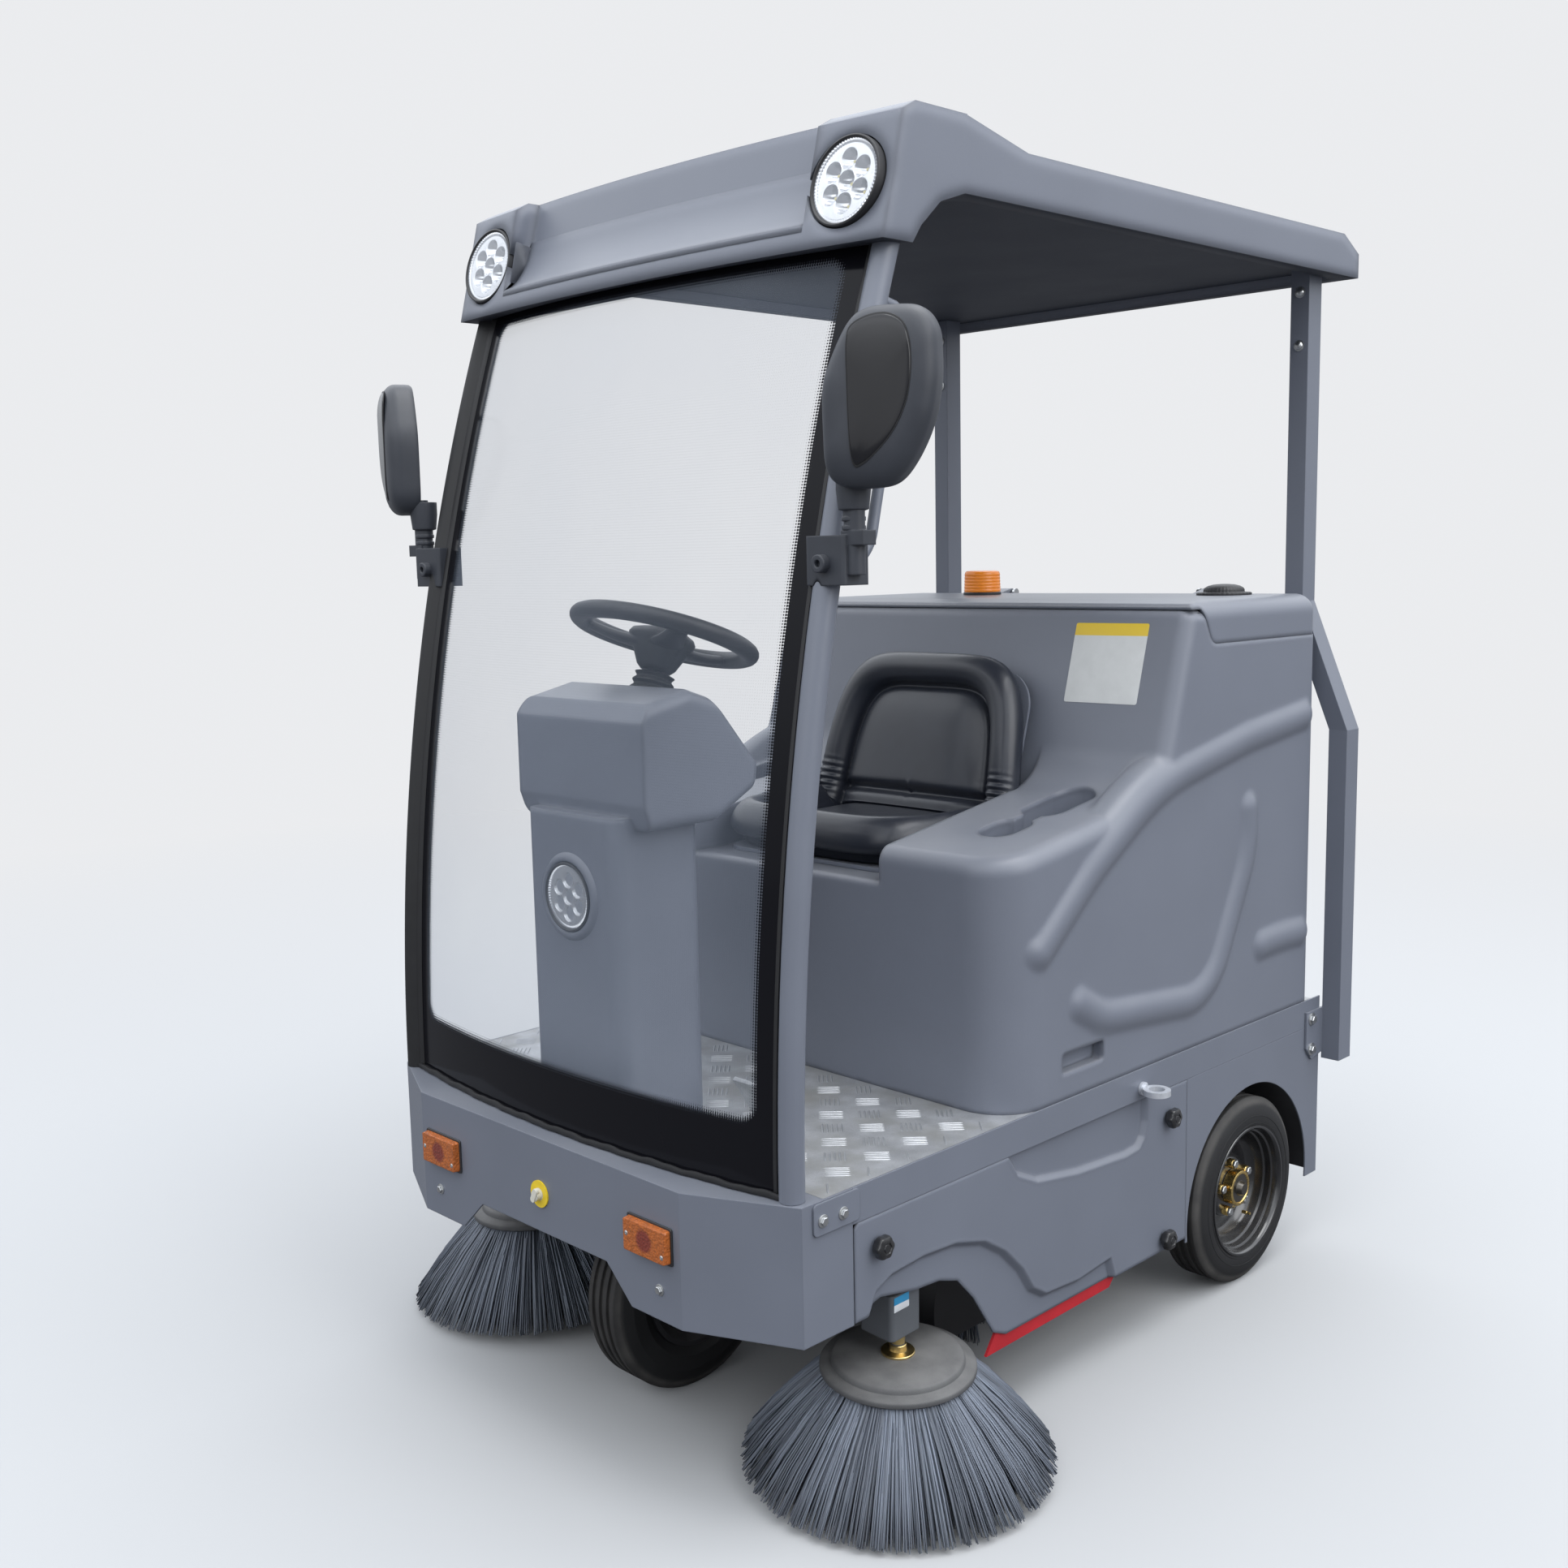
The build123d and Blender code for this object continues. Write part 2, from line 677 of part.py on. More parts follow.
with BuildPart() as roof:
    with BuildSketch(turned_roof):
        with BuildLine():
            Polyline(
                (from_roof_axis(pod_bottom_front), pod_bottom),
                (from_roof_axis(pod_top_front), roof_pod_top - 14),
                (from_roof_axis(pod_top_front) + 26, roof_pod_top),
                (from_roof_axis(pod_rear), roof_pod_top),
                (from_roof_axis(pod_rear), pod_bottom),
                close=True,
            )
        make_face()
    revolve(axis=roof_spin, revolution_arc=2 * roof_turn)
    with BuildSketch(Plane.XY.offset(pod_bottom)):
        with Locations((0, aft(pod_bottom_front) + 250)):
            Rectangle(2 * roof_half_width, 600)
    extrude(amount=300, mode=Mode.INTERSECT)
    with BuildSketch(side_sketch(-roof_half_width)):
        with BuildLine():
            Polyline(
                (aft(pod_bottom_rear), pod_bottom - 1),
                (aft(352), roof_under - 56),
                (aft(395), roof_under - 18),
                (aft(450), roof_under),
                (aft(700), roof_under),
                (aft(700), pod_bottom - 1),
                close=True,
            )
        make_face()
    extrude(amount=2 * roof_half_width, mode=Mode.SUBTRACT)
    with BuildSketch(side_sketch(-roof_half_width)):
        with BuildLine():
            Polyline(
                (aft(pod_rear - 20), roof_under + 5),
                (aft(pod_rear - 20), roof_pod_top),
                (aft(450), roof_pod_top),
                (aft(600), roof_deck_top),
                (aft(roof_rear - 60), roof_deck_top),
                (aft(roof_rear), roof_deck_top - 32),
                (aft(roof_rear), roof_under),
                (aft(450), roof_under),
                (aft(pod_rear - 10), roof_under - 4),
                close=True,
            )
        make_face()
    extrude(amount=2 * roof_half_width)
    with BuildSketch(Plane.XY.offset(roof_under - 5)):
        with Locations((0, (aft(470) + aft(roof_rear - roof_skirt)) / 2)):
            RectangleRounded(2 * (roof_half_width - roof_skirt), roof_rear - roof_skirt - 470, 30)
    extrude(amount=roof_recess + 5, mode=Mode.SUBTRACT)
    add(brow_recess.part, mode=Mode.SUBTRACT)
    add(glass_slot.part, mode=Mode.SUBTRACT)
    add(post_sockets.part, mode=Mode.SUBTRACT)
    # Lamp wells in the pods
    for side in (1, -1):
        lamp_spot = Plane(
            origin=(side * roof_lamp_x, aft(roof_lamp_front), roof_lamp_z),
            x_dir=(1, 0, 0),
            z_dir=(0, -cos(radians(pod_lean)), sin(radians(pod_lean))),
        )
        with BuildSketch(lamp_spot.offset(30)):
            Circle(lamp_radius + 12)
        extrude(amount=-(30 + lamp_depth), taper=0, mode=Mode.SUBTRACT)
roof.part.label = "roof"
export_step(roof.part, "parts/roof.step")


# Work lamps: two in the roof pods and one on the console
with BuildPart() as work_lamps:
    spots = (
        ((roof_lamp_x, aft(roof_lamp_front), roof_lamp_z), pod_lean),
        ((-roof_lamp_x, aft(roof_lamp_front), roof_lamp_z), pod_lean),
    )
    for origin, lean in spots:
        lamp_plane = Plane(
            origin=origin,
            x_dir=(1, 0, 0),
            z_dir=(0, -cos(radians(lean)), sin(radians(lean))),
        )
        with BuildSketch(lamp_plane.offset(-lamp_depth + seat_gap)):
            Circle(lamp_radius)
        extrude(amount=lamp_body)
    with BuildSketch(cross_sketch(console_front - seat_gap)):
        with Locations((0, console_lamp_z)):
            Circle(lamp_radius)
    extrude(amount=console_lamp_proud)
work_lamps.part.label = "work_lamps"
export_step(work_lamps.part, "parts/work_lamps.step")

# Console: a column with a wider dash housing on top
with BuildPart() as console:
    with BuildSketch(Plane.XY.offset(deck_top + seat_gap)):
        with Locations((0, aft((console_front + console_rear) / 2))):
            RectangleRounded(2 * console_half, console_rear - console_front, 30)
    extrude(amount=housing_bottom + 20 - deck_top - seat_gap)
    with BuildSketch(side_sketch(-housing_half)):
        with BuildLine():
            Polyline(
                (aft(housing_front) + 14, housing_bottom),
                (aft(housing_front), housing_bottom + 40),
                (aft(housing_front), 1168),
                (aft(housing_front) + 18, 1196),
                (aft(210), 1214),
                (aft(250), 1200),
                (aft(housing_rear), 1085),
                (aft(housing_rear) - 6, 1040),
                (aft(console_rear), housing_bottom),
                close=True,
            )
        make_face()
    extrude(amount=2 * housing_half)
    fillet(console.edges().filter_by(Axis.Y, tolerance=30).group_by(Axis.X)[-1], 20)
    fillet(console.edges().filter_by(Axis.Y, tolerance=30).group_by(Axis.X)[0], 20)
console.part.label = "console"
export_step(console.part, "parts/console.step")

# Steering column: a ribbed boot and a shaft that stands square to the steering wheel
tilt = radians(wheel_tilt)
column_up = (0, sin(tilt), cos(tilt))
column_foot = 150.0
wheel_plane = Plane(
    origin=(0, aft(wheel_hub[0]), wheel_hub[1]), x_dir=(1, 0, 0), z_dir=column_up
)
with BuildPart() as steering_column:
    with BuildSketch(wheel_plane.offset(-column_foot)):
        Circle(42)
    extrude(amount=column_foot - 34, taper=6)
    with BuildSketch(wheel_plane.offset(-column_foot)):
        Circle(12)
    extrude(amount=column_foot - 24)
    add(console.part, mode=Mode.SUBTRACT)
steering_column.part.label = "steering_column"
export_step(steering_column.part, "parts/steering_column.step")

with BuildPart() as steering_wheel:
    with BuildSketch(Plane(origin=wheel_plane.origin, x_dir=(1, 0, 0), z_dir=wheel_plane.y_dir)):
        with Locations((wheel_radius - wheel_tube, 0)):
            Circle(wheel_tube)
    revolve(axis=Axis(wheel_plane.origin, column_up), revolution_arc=360)
    with BuildSketch(wheel_plane.offset(-24 + seat_gap)):
        Circle(34)
    extrude(amount=26, taper=-4)
    with BuildSketch(wheel_plane.offset(-14)):
        for angle in (0, 90, 180):
            with Locations(Rotation(0, 0, angle)):
                with Locations((wheel_radius / 2 - 4, 0)):
                    Rectangle(wheel_radius - 22, 30)
    extrude(amount=9)
steering_wheel.part.label = "steering_wheel"
export_step(steering_wheel.part, "parts/steering_wheel.step")

# Pedals on bent arms that stand on the deck
with BuildPart() as pedals:
    for x, y, width in ((215.0, 300.0, 62.0), (-190.0, 240.0, 60.0)):
        with BuildSketch(side_sketch(x - width / 2)):
            with BuildLine():
                Polyline(
                    (aft(y), deck_top + seat_gap),
                    (aft(y) + 46, deck_top + seat_gap),
                    (aft(y) + 46, deck_top + 6),
                    (aft(y) + 8, deck_top + 6),
                    (aft(y) - 42, deck_top + 78),
                    (aft(y) - 48, deck_top + 74),
                    close=True,
                )
            make_face()
        extrude(amount=width)
pedals.part.label = "pedals"
export_step(pedals.part, "parts/pedals.step")

# Seat: a bucket of cushion and back on a thin backing shell
with BuildPart() as seat_cushion:
    with BuildSketch(Plane.XY.offset(seat_bottom)):
        with Locations((0, aft((seat_front + seat_rear) / 2))):
            RectangleRounded(2 * seat_half, seat_rear - seat_front, 60)
    extrude(amount=seat_top - seat_bottom)
    fillet(seat_cushion.edges().group_by(Axis.Z)[-1], 24)
    with BuildSketch(side_sketch(-seat_half)):
        with BuildLine():
            Polyline(
                (aft(back_low[0]) - 70, seat_top + 5),
                (aft(back_low[0]) - 55, back_low[1] - 26),
                (aft(seat_rear) + 5, back_low[1] - 26),
                (aft(seat_rear) + 5, seat_top + 5),
                close=True,
            )
        make_face()
    extrude(amount=2 * seat_half, mode=Mode.SUBTRACT)
seat_cushion.part.label = "seat_cushion"
export_step(seat_cushion.part, "parts/seat_cushion.step")

back_lean = atan2(back_high[0] - back_low[0], back_high[1] - back_low[1])
back_height = sqrt((back_high[0] - back_low[0]) ** 2 + (back_high[1] - back_low[1]) ** 2)
back_plane = Plane(
    origin=(0, aft(back_low[0]), back_low[1] - 22),
    x_dir=(1, 0, 0),
    z_dir=(0, -cos(back_lean), sin(back_lean)),
)
with BuildPart() as seat_back:
    with BuildSketch(back_plane):
        with Locations((0, back_height / 2 + 10)):
            RectangleRounded(2 * back_half, back_height, 70)
    extrude(amount=back_thickness)
    fillet(seat_back.faces().sort_by(Axis((0, 0, 0), (0, -cos(back_lean), sin(back_lean))))[-1].edges(), 22)
seat_back.part.label = "seat_back"
export_step(seat_back.part, "parts/seat_back.step")

with BuildPart() as seat_pan:
    with BuildSketch(Plane.XY.offset(pedestal_top + seat_gap)):
        with Locations((0, aft((seat_front + seat_rear) / 2))):
            RectangleRounded(2 * seat_half - 30, seat_rear - seat_front - 30, 45)
    extrude(amount=seat_bottom - seat_gap - pedestal_top - seat_gap)
    with BuildSketch(back_plane.offset(-seat_gap)):
        with Locations((0, back_height / 2 + 10)):
            RectangleRounded(2 * back_half + 10, back_height + 8, 74)
    extrude(amount=-pan_thickness)
    with BuildSketch(side_sketch(-60)):
        with BuildLine():
            Polyline(
                (aft(seat_rear) - 30, pedestal_top + seat_gap),
                (aft(seat_rear) + 2, pedestal_top + seat_gap),
                (aft(seat_rear) + 26, back_low[1] + 40),
                (aft(seat_rear) + 14, back_low[1] + 40),
                (aft(seat_rear) - 2, seat_bottom - seat_gap),
                (aft(seat_rear) - 30, seat_bottom - seat_gap),
                close=True,
            )
        make_face()
    extrude(amount=120)
    add(seat_cushion.part, mode=Mode.SUBTRACT)
    add(seat_back.part, mode=Mode.SUBTRACT)
seat_pan.part.label = "seat_pan"
export_step(seat_pan.part, "parts/seat_pan.step")


# Moulded body shell: one hollow moulding that holds the seat, with a bay under the lid
def rounded_outline(corners):
    """Closed outline through corners of (across, up, radius), each with its own round."""
    stretches = []
    for number, (across, up, radius) in enumerate(corners):
        here = Vector(across, up)
        before = (Vector(*corners[number - 1][:2]) - here).normalized()
        after = (Vector(*corners[(number + 1) % len(corners)][:2]) - here).normalized()
        half_angle = radians(before.get_angle(after)) / 2
        reach = radius / tan(half_angle)
        middle = here + (before + after).normalized() * (radius / sin(half_angle) - radius)
        stretches.append((here + before * reach, middle, here + after * reach, radius))
    with BuildLine() as outline:
        for number, (first, middle, last, radius) in enumerate(stretches):
            if radius:
                ThreePointArc(first, middle, last)
            Line(last, stretches[(number + 1) % len(stretches)][0])
    return outline.line


def shell_block(inset, bottom):
    """The shell's outer form without its seat well, moved inwards by inset."""
    half = shell_half - inset
    outline = (
        (aft(shell_front + inset), bottom, 0.0),
        (aft(shell_front + inset), arm_front_z - inset, 0.0),
        (aft(arm_rear[0]) + inset, arm_rear[1] - inset, arm_rear_round),
        (aft(shell_top_front[0]) + inset, shell_top_front[1] - inset, 0.0),
        (aft(shell_top_front[0] + 34) + inset / 2, shell_top_front[1] - inset, 0.0),
        (aft(lid_corner), lid_seam - inset, 25.0),
        (aft(shell_rear - inset), lid_seam - inset, 0.0),
        (aft(shell_rear - inset), bottom, 0.0),
    )
    with BuildPart() as block:
        with BuildSketch(side_sketch(-half)):
            add(rounded_outline(outline))
            make_face()
        extrude(amount=2 * half)
        fillet(block.edges().filter_by(Axis.Z).group_by(Axis.Y)[0], plan_corner - inset)
        fillet(block.edges().filter_by(Axis.Z).group_by(Axis.Y)[-1], shell_rear_round - inset / 2)
        # The crest runs round the front and up both sides to the lid
        crest = []
        for edge in block.edges():
            middle = edge.center()
            upright = abs((edge % 0.5).Z) > 0.999
            across = abs(middle.X) < 1 and middle.Y > aft(shell_front + 60)
            beyond = middle.Y > aft(shell_top_front[0]) + inset + 1
            if not (upright or across or beyond or middle.Z < arm_front_z - inset - 25):
                crest.append(edge)
        fillet(crest, shell_edge_round - inset)
    return block.part


def seat_well(grow):
    """Space over the pedestal between the armrests, grown by grow on every side."""
    lean = (shell_top_front[0] - arm_rear[0]) / (shell_top_front[1] - arm_rear[1])
    above = 100.0
    with BuildPart() as block:
        with BuildSketch(side_sketch(-pedestal_half - grow)):
            with BuildLine():
                Polyline(
                    (aft(shell_front) - above, pedestal_top - grow),
                    (aft(arm_rear[0] - lean * (arm_rear[1] - pedestal_top)) + grow, pedestal_top - grow),
                    (aft(shell_top_front[0] + lean * above) + grow, shell_top_front[1] + above),
                    (aft(shell_front) - above, shell_top_front[1] + above),
                    close=True,
                )
            make_face()
        extrude(amount=2 * (pedestal_half + grow))
    return block.part


def bead_path(corners):
    """Middle line of a moulded bead on the right side, through corners of (aft, up, radius)."""
    places = [Vector(-shell_half + bead_depth, aft(y), z) for y, z, radius in corners]
    with BuildLine() as path:
        last = places[0]
        for number in range(1, len(places) - 1):
            here = places[number]
            radius = corners[number][2]
            before = (places[number - 1] - here).normalized()
            after = (places[number + 1] - here).normalized()
            half_angle = radians(before.get_angle(after)) / 2
            reach = radius / tan(half_angle)
            middle = here + (before + after).normalized() * (radius / sin(half_angle) - radius)
            Line(last, here + before * reach)
            ThreePointArc(here + before * reach, middle, here + after * reach)
            last = here + after * reach
        Line(last, places[-1])
    return path.line


def moulded_bar(line):
    """Round bar with round ends along a bead's middle line."""
    with BuildPart() as bar:
        with BuildSketch(Plane(origin=line @ 0, z_dir=line % 0)):
            Circle(bead_radius)
        sweep(path=line)
        for place in (line @ 0, line @ 1):
            with Locations(place):
                Sphere(bead_radius)
    return bar.part


# Corners of each moulded bead on the side: (aft, up, radius)
bead_lines = (
    ((640.0, 772.0, 0.0), (780.0, 884.0, 400.0), (985.0, 1007.0, 500.0), (1273.0, 1062.0, 600.0), (1488.0, 1088.0, 0.0)),
    ((745.0, 664.0, 0.0), (812.0, 626.0, 120.0), (1150.0, 592.0, 130.0), (1286.0, 850.0, 220.0), (1284.0, 930.0, 0.0)),
    ((1338.0, 657.0, 0.0), (1410.0, 661.0, 900.0), (1488.0, 657.0, 0.0)),
)
bead_radius = 45.0
bead_depth = 35.0
bead_paths = [bead_path(corners) for corners in bead_lines]
crease_radius = 20.0
pocket_place = (755.0, 571.0)
pocket_length = 118.0
pocket_height = 34.0
pocket_depth = 22.0
cup_x = shell_half - 136.0
# Cup recesses: (aft, length, width, depth)
cups = ((721.0, 112.0, 80.0, 52.0), (872.0, 170.0, 92.0, 62.0))

recess_wall = 4.0
neck_depth = 24.0
neck_width = 46.0
neck_length = 90.0
neck_place = aft((cups[0][0] + cups[1][0]) / 2)


def arm_height(y):
    """Height of the armrest's top at a place along it."""
    slope = (arm_rear[1] - arm_front_z) / (arm_rear[0] - shell_front)
    return arm_front_z + (y - shell_front) * slope


shell_bottom = deck_top + seat_gap
with BuildPart() as recess_walls:
    for side in (1, -1):
        for y, length, width, depth in cups:
            with BuildSketch(Plane.XY.offset(arm_height(y) - depth - shell_wall)):
                with Locations((side * cup_x, aft(y))):
                    SlotOverall(length, width, rotation=90)
            extrude(amount=depth + 40)
        with BuildSketch(Plane.XY.offset(arm_height(cups[0][0]) - neck_depth - shell_wall)):
            with Locations((side * cup_x, neck_place)):
                Rectangle(neck_width, neck_length)
        extrude(amount=neck_depth + 40)
        with BuildSketch(side_sketch(side * (shell_half - pocket_depth - shell_wall))):
            with Locations((aft(pocket_place[0]), pocket_place[1])):
                RectangleRounded(pocket_length + 2 * shell_wall, pocket_height + 2 * shell_wall, 9)
        extrude(amount=side * (pocket_depth + shell_wall))
    # They end inside the shell's wall
    add(shell_block(shell_wall / 3, shell_bottom), mode=Mode.INTERSECT)

with BuildPart() as body_shell:
    add(shell_block(0.0, shell_bottom))
    add(seat_well(0.0), mode=Mode.SUBTRACT)
    # Soft edges at the front of the pedestal and at the top of the back wall
    soft = []
    for edge in body_shell.edges():
        middle = edge.center()
        if abs(middle.X) < 1 and abs(middle.Z - pedestal_top) < 1 and middle.Y < aft(shell_front + 10):
            soft.append(edge)
    fillet(soft, 10)
    soft = []
    for edge in body_shell.edges():
        middle = edge.center()
        if abs(middle.X) < 1 and abs(middle.Z - shell_top_front[1]) < 2 and abs(middle.Y - aft(shell_top_front[0])) < 3:
            soft.append(edge)
    fillet(soft, 22)
    # Beads on one side, each with a soft crease along it, and the same on the other
    for line in bead_paths:
        add(moulded_bar(line))
    creases = []
    for edge in body_shell.edges():
        middle = edge.center()
        on_side = abs(middle.X + shell_half) < 0.01
        if on_side and min(abs(line.distance_to(edge @ 0.5) - bead_radius) for line in bead_paths) < 0.5:
            creases.append(edge)
    fillet(creases, crease_radius)
    split(bisect_by=Plane.YZ, keep=Keep.BOTTOM)
    mirror(about=Plane.YZ)
    add(shell_block(shell_wall, shell_bottom - 10) - seat_well(shell_wall), mode=Mode.SUBTRACT)
    # The bay under the lid is open at the top
    with BuildSketch(Plane.XY.offset(lid_seam - shell_wall - 5)):
        with Locations((0, (aft(lid_corner + 20) + aft(shell_rear - 30)) / 2)):
            RectangleRounded(2 * shell_half - 70, shell_rear - lid_corner - 50, 40)
    extrude(amount=40, mode=Mode.SUBTRACT)
    # Walls and floors of the cup recesses and bolt pockets
    add(recess_walls.part)
    for side in (1, -1):
        for y, length, width, depth in cups:
            with BuildSketch(Plane.XY.offset(arm_height(y) - depth)):
                with Locations((side * cup_x, aft(y))):
                    SlotOverall(length - 2 * recess_wall, width - 2 * recess_wall, rotation=90)
            extrude(amount=depth + 60, mode=Mode.SUBTRACT)
        # Neck that joins the two recesses
        with BuildSketch(Plane.XY.offset(arm_height(cups[0][0]) - neck_depth)):
            with Locations((side * cup_x, neck_place)):
                Rectangle(neck_width - 2 * recess_wall, neck_length)
        extrude(amount=60, mode=Mode.SUBTRACT)
        with BuildSketch(side_sketch(side * (shell_half - pocket_depth))):
            with Locations((aft(pocket_place[0]), pocket_place[1])):
                RectangleRounded(pocket_length, pocket_height, 6)
        extrude(amount=side * (pocket_depth + 10), mode=Mode.SUBTRACT)
body_shell.part.label = "body_shell"
export_step(body_shell.part, "parts/body_shell.step")


# Lid over the bay, hinged behind its rear top edge
lid_front = shell_top_front[0] + 6
lid_rear = shell_rear - 2
lid_round = 34.0
hinge_place = (lid_rear + 11.0, lid_top)
hinge_pin_radius = 5.0
hinge_x = 260.0
hinge_lug_width = 28.0
hinge_lug_radius = 9.0


def lid_block(inset, drop):
    """The lid's outer form, moved inwards by inset and with its rim lowered by drop."""
    with BuildPart() as block:
        with BuildSketch(side_sketch(-shell_half + inset)):
            with BuildLine():
                Polyline(
                    (aft(lid_front) + inset, shell_top_front[1] + seat_gap - drop),
                    (aft(lid_front) + inset, shell_top_front[1] + 4),
                    (aft(lid_front) + 14 + inset, lid_top - 6 - inset),
                    (aft(lid_front) + 60, lid_top - inset),
                    (aft(lid_rear) - inset, lid_top - inset),
                    (aft(lid_rear) - inset, lid_seam + seat_gap - drop),
                    (aft(lid_corner), lid_seam + seat_gap - drop),
                    (aft(lid_front) + 31, shell_top_front[1] + seat_gap - drop),
                    close=True,
                )
            make_face()
        extrude(amount=2 * (shell_half - inset))
        fillet(block.edges().filter_by(Axis.Z).group_by(Axis.Y)[-1], shell_rear_round - inset / 2)
        fillet(block.edges().filter_by(Axis.Y).group_by(Axis.Z)[-1], lid_round - inset)
    return block.part


with BuildPart() as lid:
    add(lid_block(0.0, 0.0))
    # Lugs for the hinge pin, let into the rounded rear edge
    for side in (1, -1):
        with BuildSketch(side_sketch(side * hinge_x - hinge_lug_width / 2)):
            with Locations((aft(hinge_place[0]), hinge_place[1])):
                Circle(hinge_lug_radius)
            with BuildLine():
                Polyline(
                    (aft(hinge_place[0]), hinge_place[1] + hinge_lug_radius),
                    (aft(lid_rear) - lid_round, hinge_place[1] - 1),
                    (aft(lid_rear) - lid_wall / 2, hinge_place[1] - lid_round - 4),
                    (aft(hinge_place[0]), hinge_place[1] - hinge_lug_radius),
                    close=True,
                )
            make_face()
        extrude(amount=hinge_lug_width)
    add(lid_block(lid_wall, 30.0), mode=Mode.SUBTRACT)
    with BuildSketch(side_sketch(-shell_half)):
        with Locations((aft(hinge_place[0]), hinge_place[1])):
            Circle(hinge_pin_radius + run_gap)
    extrude(amount=2 * shell_half, mode=Mode.SUBTRACT)
    add(body_shell.part, mode=Mode.SUBTRACT)
lid.part.label = "lid"
export_step(lid.part, "parts/lid.step")

# Hinge brackets: cheeks that carry the pins, on plates bolted to the shell's rear
cheek_x = hinge_lug_width / 2 + 9
with BuildPart() as lid_hinges:
    for side in (1, -1):
        for shift in (-cheek_x, cheek_x):
            with BuildSketch(side_sketch(side * hinge_x + shift - 3)):
                with Locations((aft(hinge_place[0]), hinge_place[1])):
                    Circle(hinge_lug_radius)
                with BuildLine():
                    Polyline(
                        (aft(hinge_place[0]) + hinge_lug_radius, hinge_place[1]),
                        (aft(shell_rear) + 6, lid_seam - 100),
                        (aft(shell_rear) + seat_gap, lid_seam - 100),
                        (aft(shell_rear) + seat_gap, hinge_place[1] - 6),
                        (aft(hinge_place[0]), hinge_place[1]),
                        close=True,
                    )
                make_face()
            extrude(amount=6)
        with BuildSketch(side_sketch(side * hinge_x - cheek_x - 3)):
            with Locations((aft(hinge_place[0]), hinge_place[1])):
                Circle(hinge_pin_radius)
            with Locations((aft(shell_rear) + seat_gap + 3, lid_seam - 60)):
                Rectangle(6, 90)
        extrude(amount=2 * cheek_x + 6)
lid_hinges.part.label = "lid_hinges"
export_step(lid_hinges.part, "parts/lid_hinges.step")

with BuildPart() as vent_cap:
    with BuildSketch(Plane.XY.offset(lid_top + seat_gap)):
        with Locations((372, aft(1412))):
            Circle(52)
    extrude(amount=5)
    with BuildSketch(Plane.XY.offset(lid_top + seat_gap + 5)):
        with Locations((372, aft(1412))):
            Circle(38)
    extrude(amount=16, taper=35)
vent_cap.part.label = "vent_cap"
export_step(vent_cap.part, "parts/vent_cap.step")

with BuildPart() as beacon:
    with BuildSketch(Plane.XY.offset(lid_top + seat_gap)):
        with Locations((-205, aft(1385))):
            Circle(41)
    extrude(amount=52, taper=3)
beacon.part.label = "beacon"
export_step(beacon.part, "parts/beacon.step")

with BuildPart() as battery:
    with BuildSketch(Plane.XY.offset(deck_top + seat_gap)):
        with Locations((0, aft(770))):
            Rectangle(400, 380)
    extrude(amount=300)
battery.part.label = "battery"
export_step(battery.part, "parts/battery.step")


# Wheels: ribbed tyres on dished steel rims
def tyre_section(outer, width, bore, grooves):
    """Half section of a tyre as (distance across, radius), with shallow tread grooves."""
    half = width / 2
    points = [(-half + 10, bore), (-half, bore + 16), (-half, outer - 34), (-half + 7, outer - 10)]
    tread = half - 14
    pitch = 2 * tread / (2 * grooves + 1)
    for number in range(2 * grooves + 1):
        start = -tread + number * pitch
        level = outer if number % 2 == 0 else outer - 6
        points += [(start, level), (start + pitch, level)]
    points += [(half - 7, outer - 10), (half, outer - 34), (half, bore + 16), (half - 10, bore)]
    return points


def make_tyre(x, place):
    with BuildPart() as tyre:
        with BuildSketch(Plane(origin=(x, aft(place), tyre_radius), x_dir=(1, 0, 0), z_dir=(0, -1, 0))):
            with BuildLine():
                Polyline(*tyre_section(tyre_radius, tyre_width, rim_radius + seat_gap, 3), close=True)
            make_face()
        revolve(axis=Axis((x, aft(place), tyre_radius), (1, 0, 0)), revolution_arc=360)
    return tyre.part


rear_wheel_x = rear_tyre_face - tyre_width / 2
for side in (1, -1):
    with BuildPart() as rear_tyre:
        add(make_tyre(side * rear_wheel_x, rear_axle))
    rear_tyre.part.label = f"rear_tyre_{name_of(side)}"
    export_step(rear_tyre.part, f"parts/{rear_tyre.part.label}.step")
    hub_bore = spindle_radius + run_gap
    with BuildPart() as rear_rim:
        plane = Plane(
            origin=(side * rear_wheel_x, aft(rear_axle), tyre_radius), x_dir=(side, 0, 0), z_dir=(0, -side, 0)
        )
        with BuildSketch(plane):
            with BuildLine():
                Polyline(
                    (-38, rim_radius),
                    (-40, rim_radius + rim_flange),
                    (-44, rim_radius + rim_flange),
                    (-44, rim_radius - 10),
                    (-34, rim_radius - 10),
                    (-24, 84),
                    (-16, 60),
                    (-16, hub_radius),
                    (-46, hub_radius),
                    (-46, hub_bore),
                    (16, hub_bore),
                    (16, 0),
                    (38, 0),
                    (38, 11),
                    (28, 15),
                    (28, 30),
                    (12, 34),
                    (-8, hub_radius),
                    (-8, 62),
                    (-14, 84),
                    (-24, rim_radius - 18),
                    (34, rim_radius - 14),
                    (44, rim_radius - 10),
                    (44, rim_radius + rim_flange),
                    (40, rim_radius + rim_flange),
                    (38, rim_radius),
                    close=True,
                )
            make_face()
        revolve(axis=Axis(plane.origin, (1, 0, 0)), revolution_arc=360)
    rear_rim.part.label = f"rear_rim_{name_of(side)}"
    export_step(rear_rim.part, f"parts/{rear_rim.part.label}.step")

with BuildPart() as front_tyre:
    add(make_tyre(0.0, front_axle))
front_tyre.part.label = "front_tyre"
export_step(front_tyre.part, "parts/front_tyre.step")

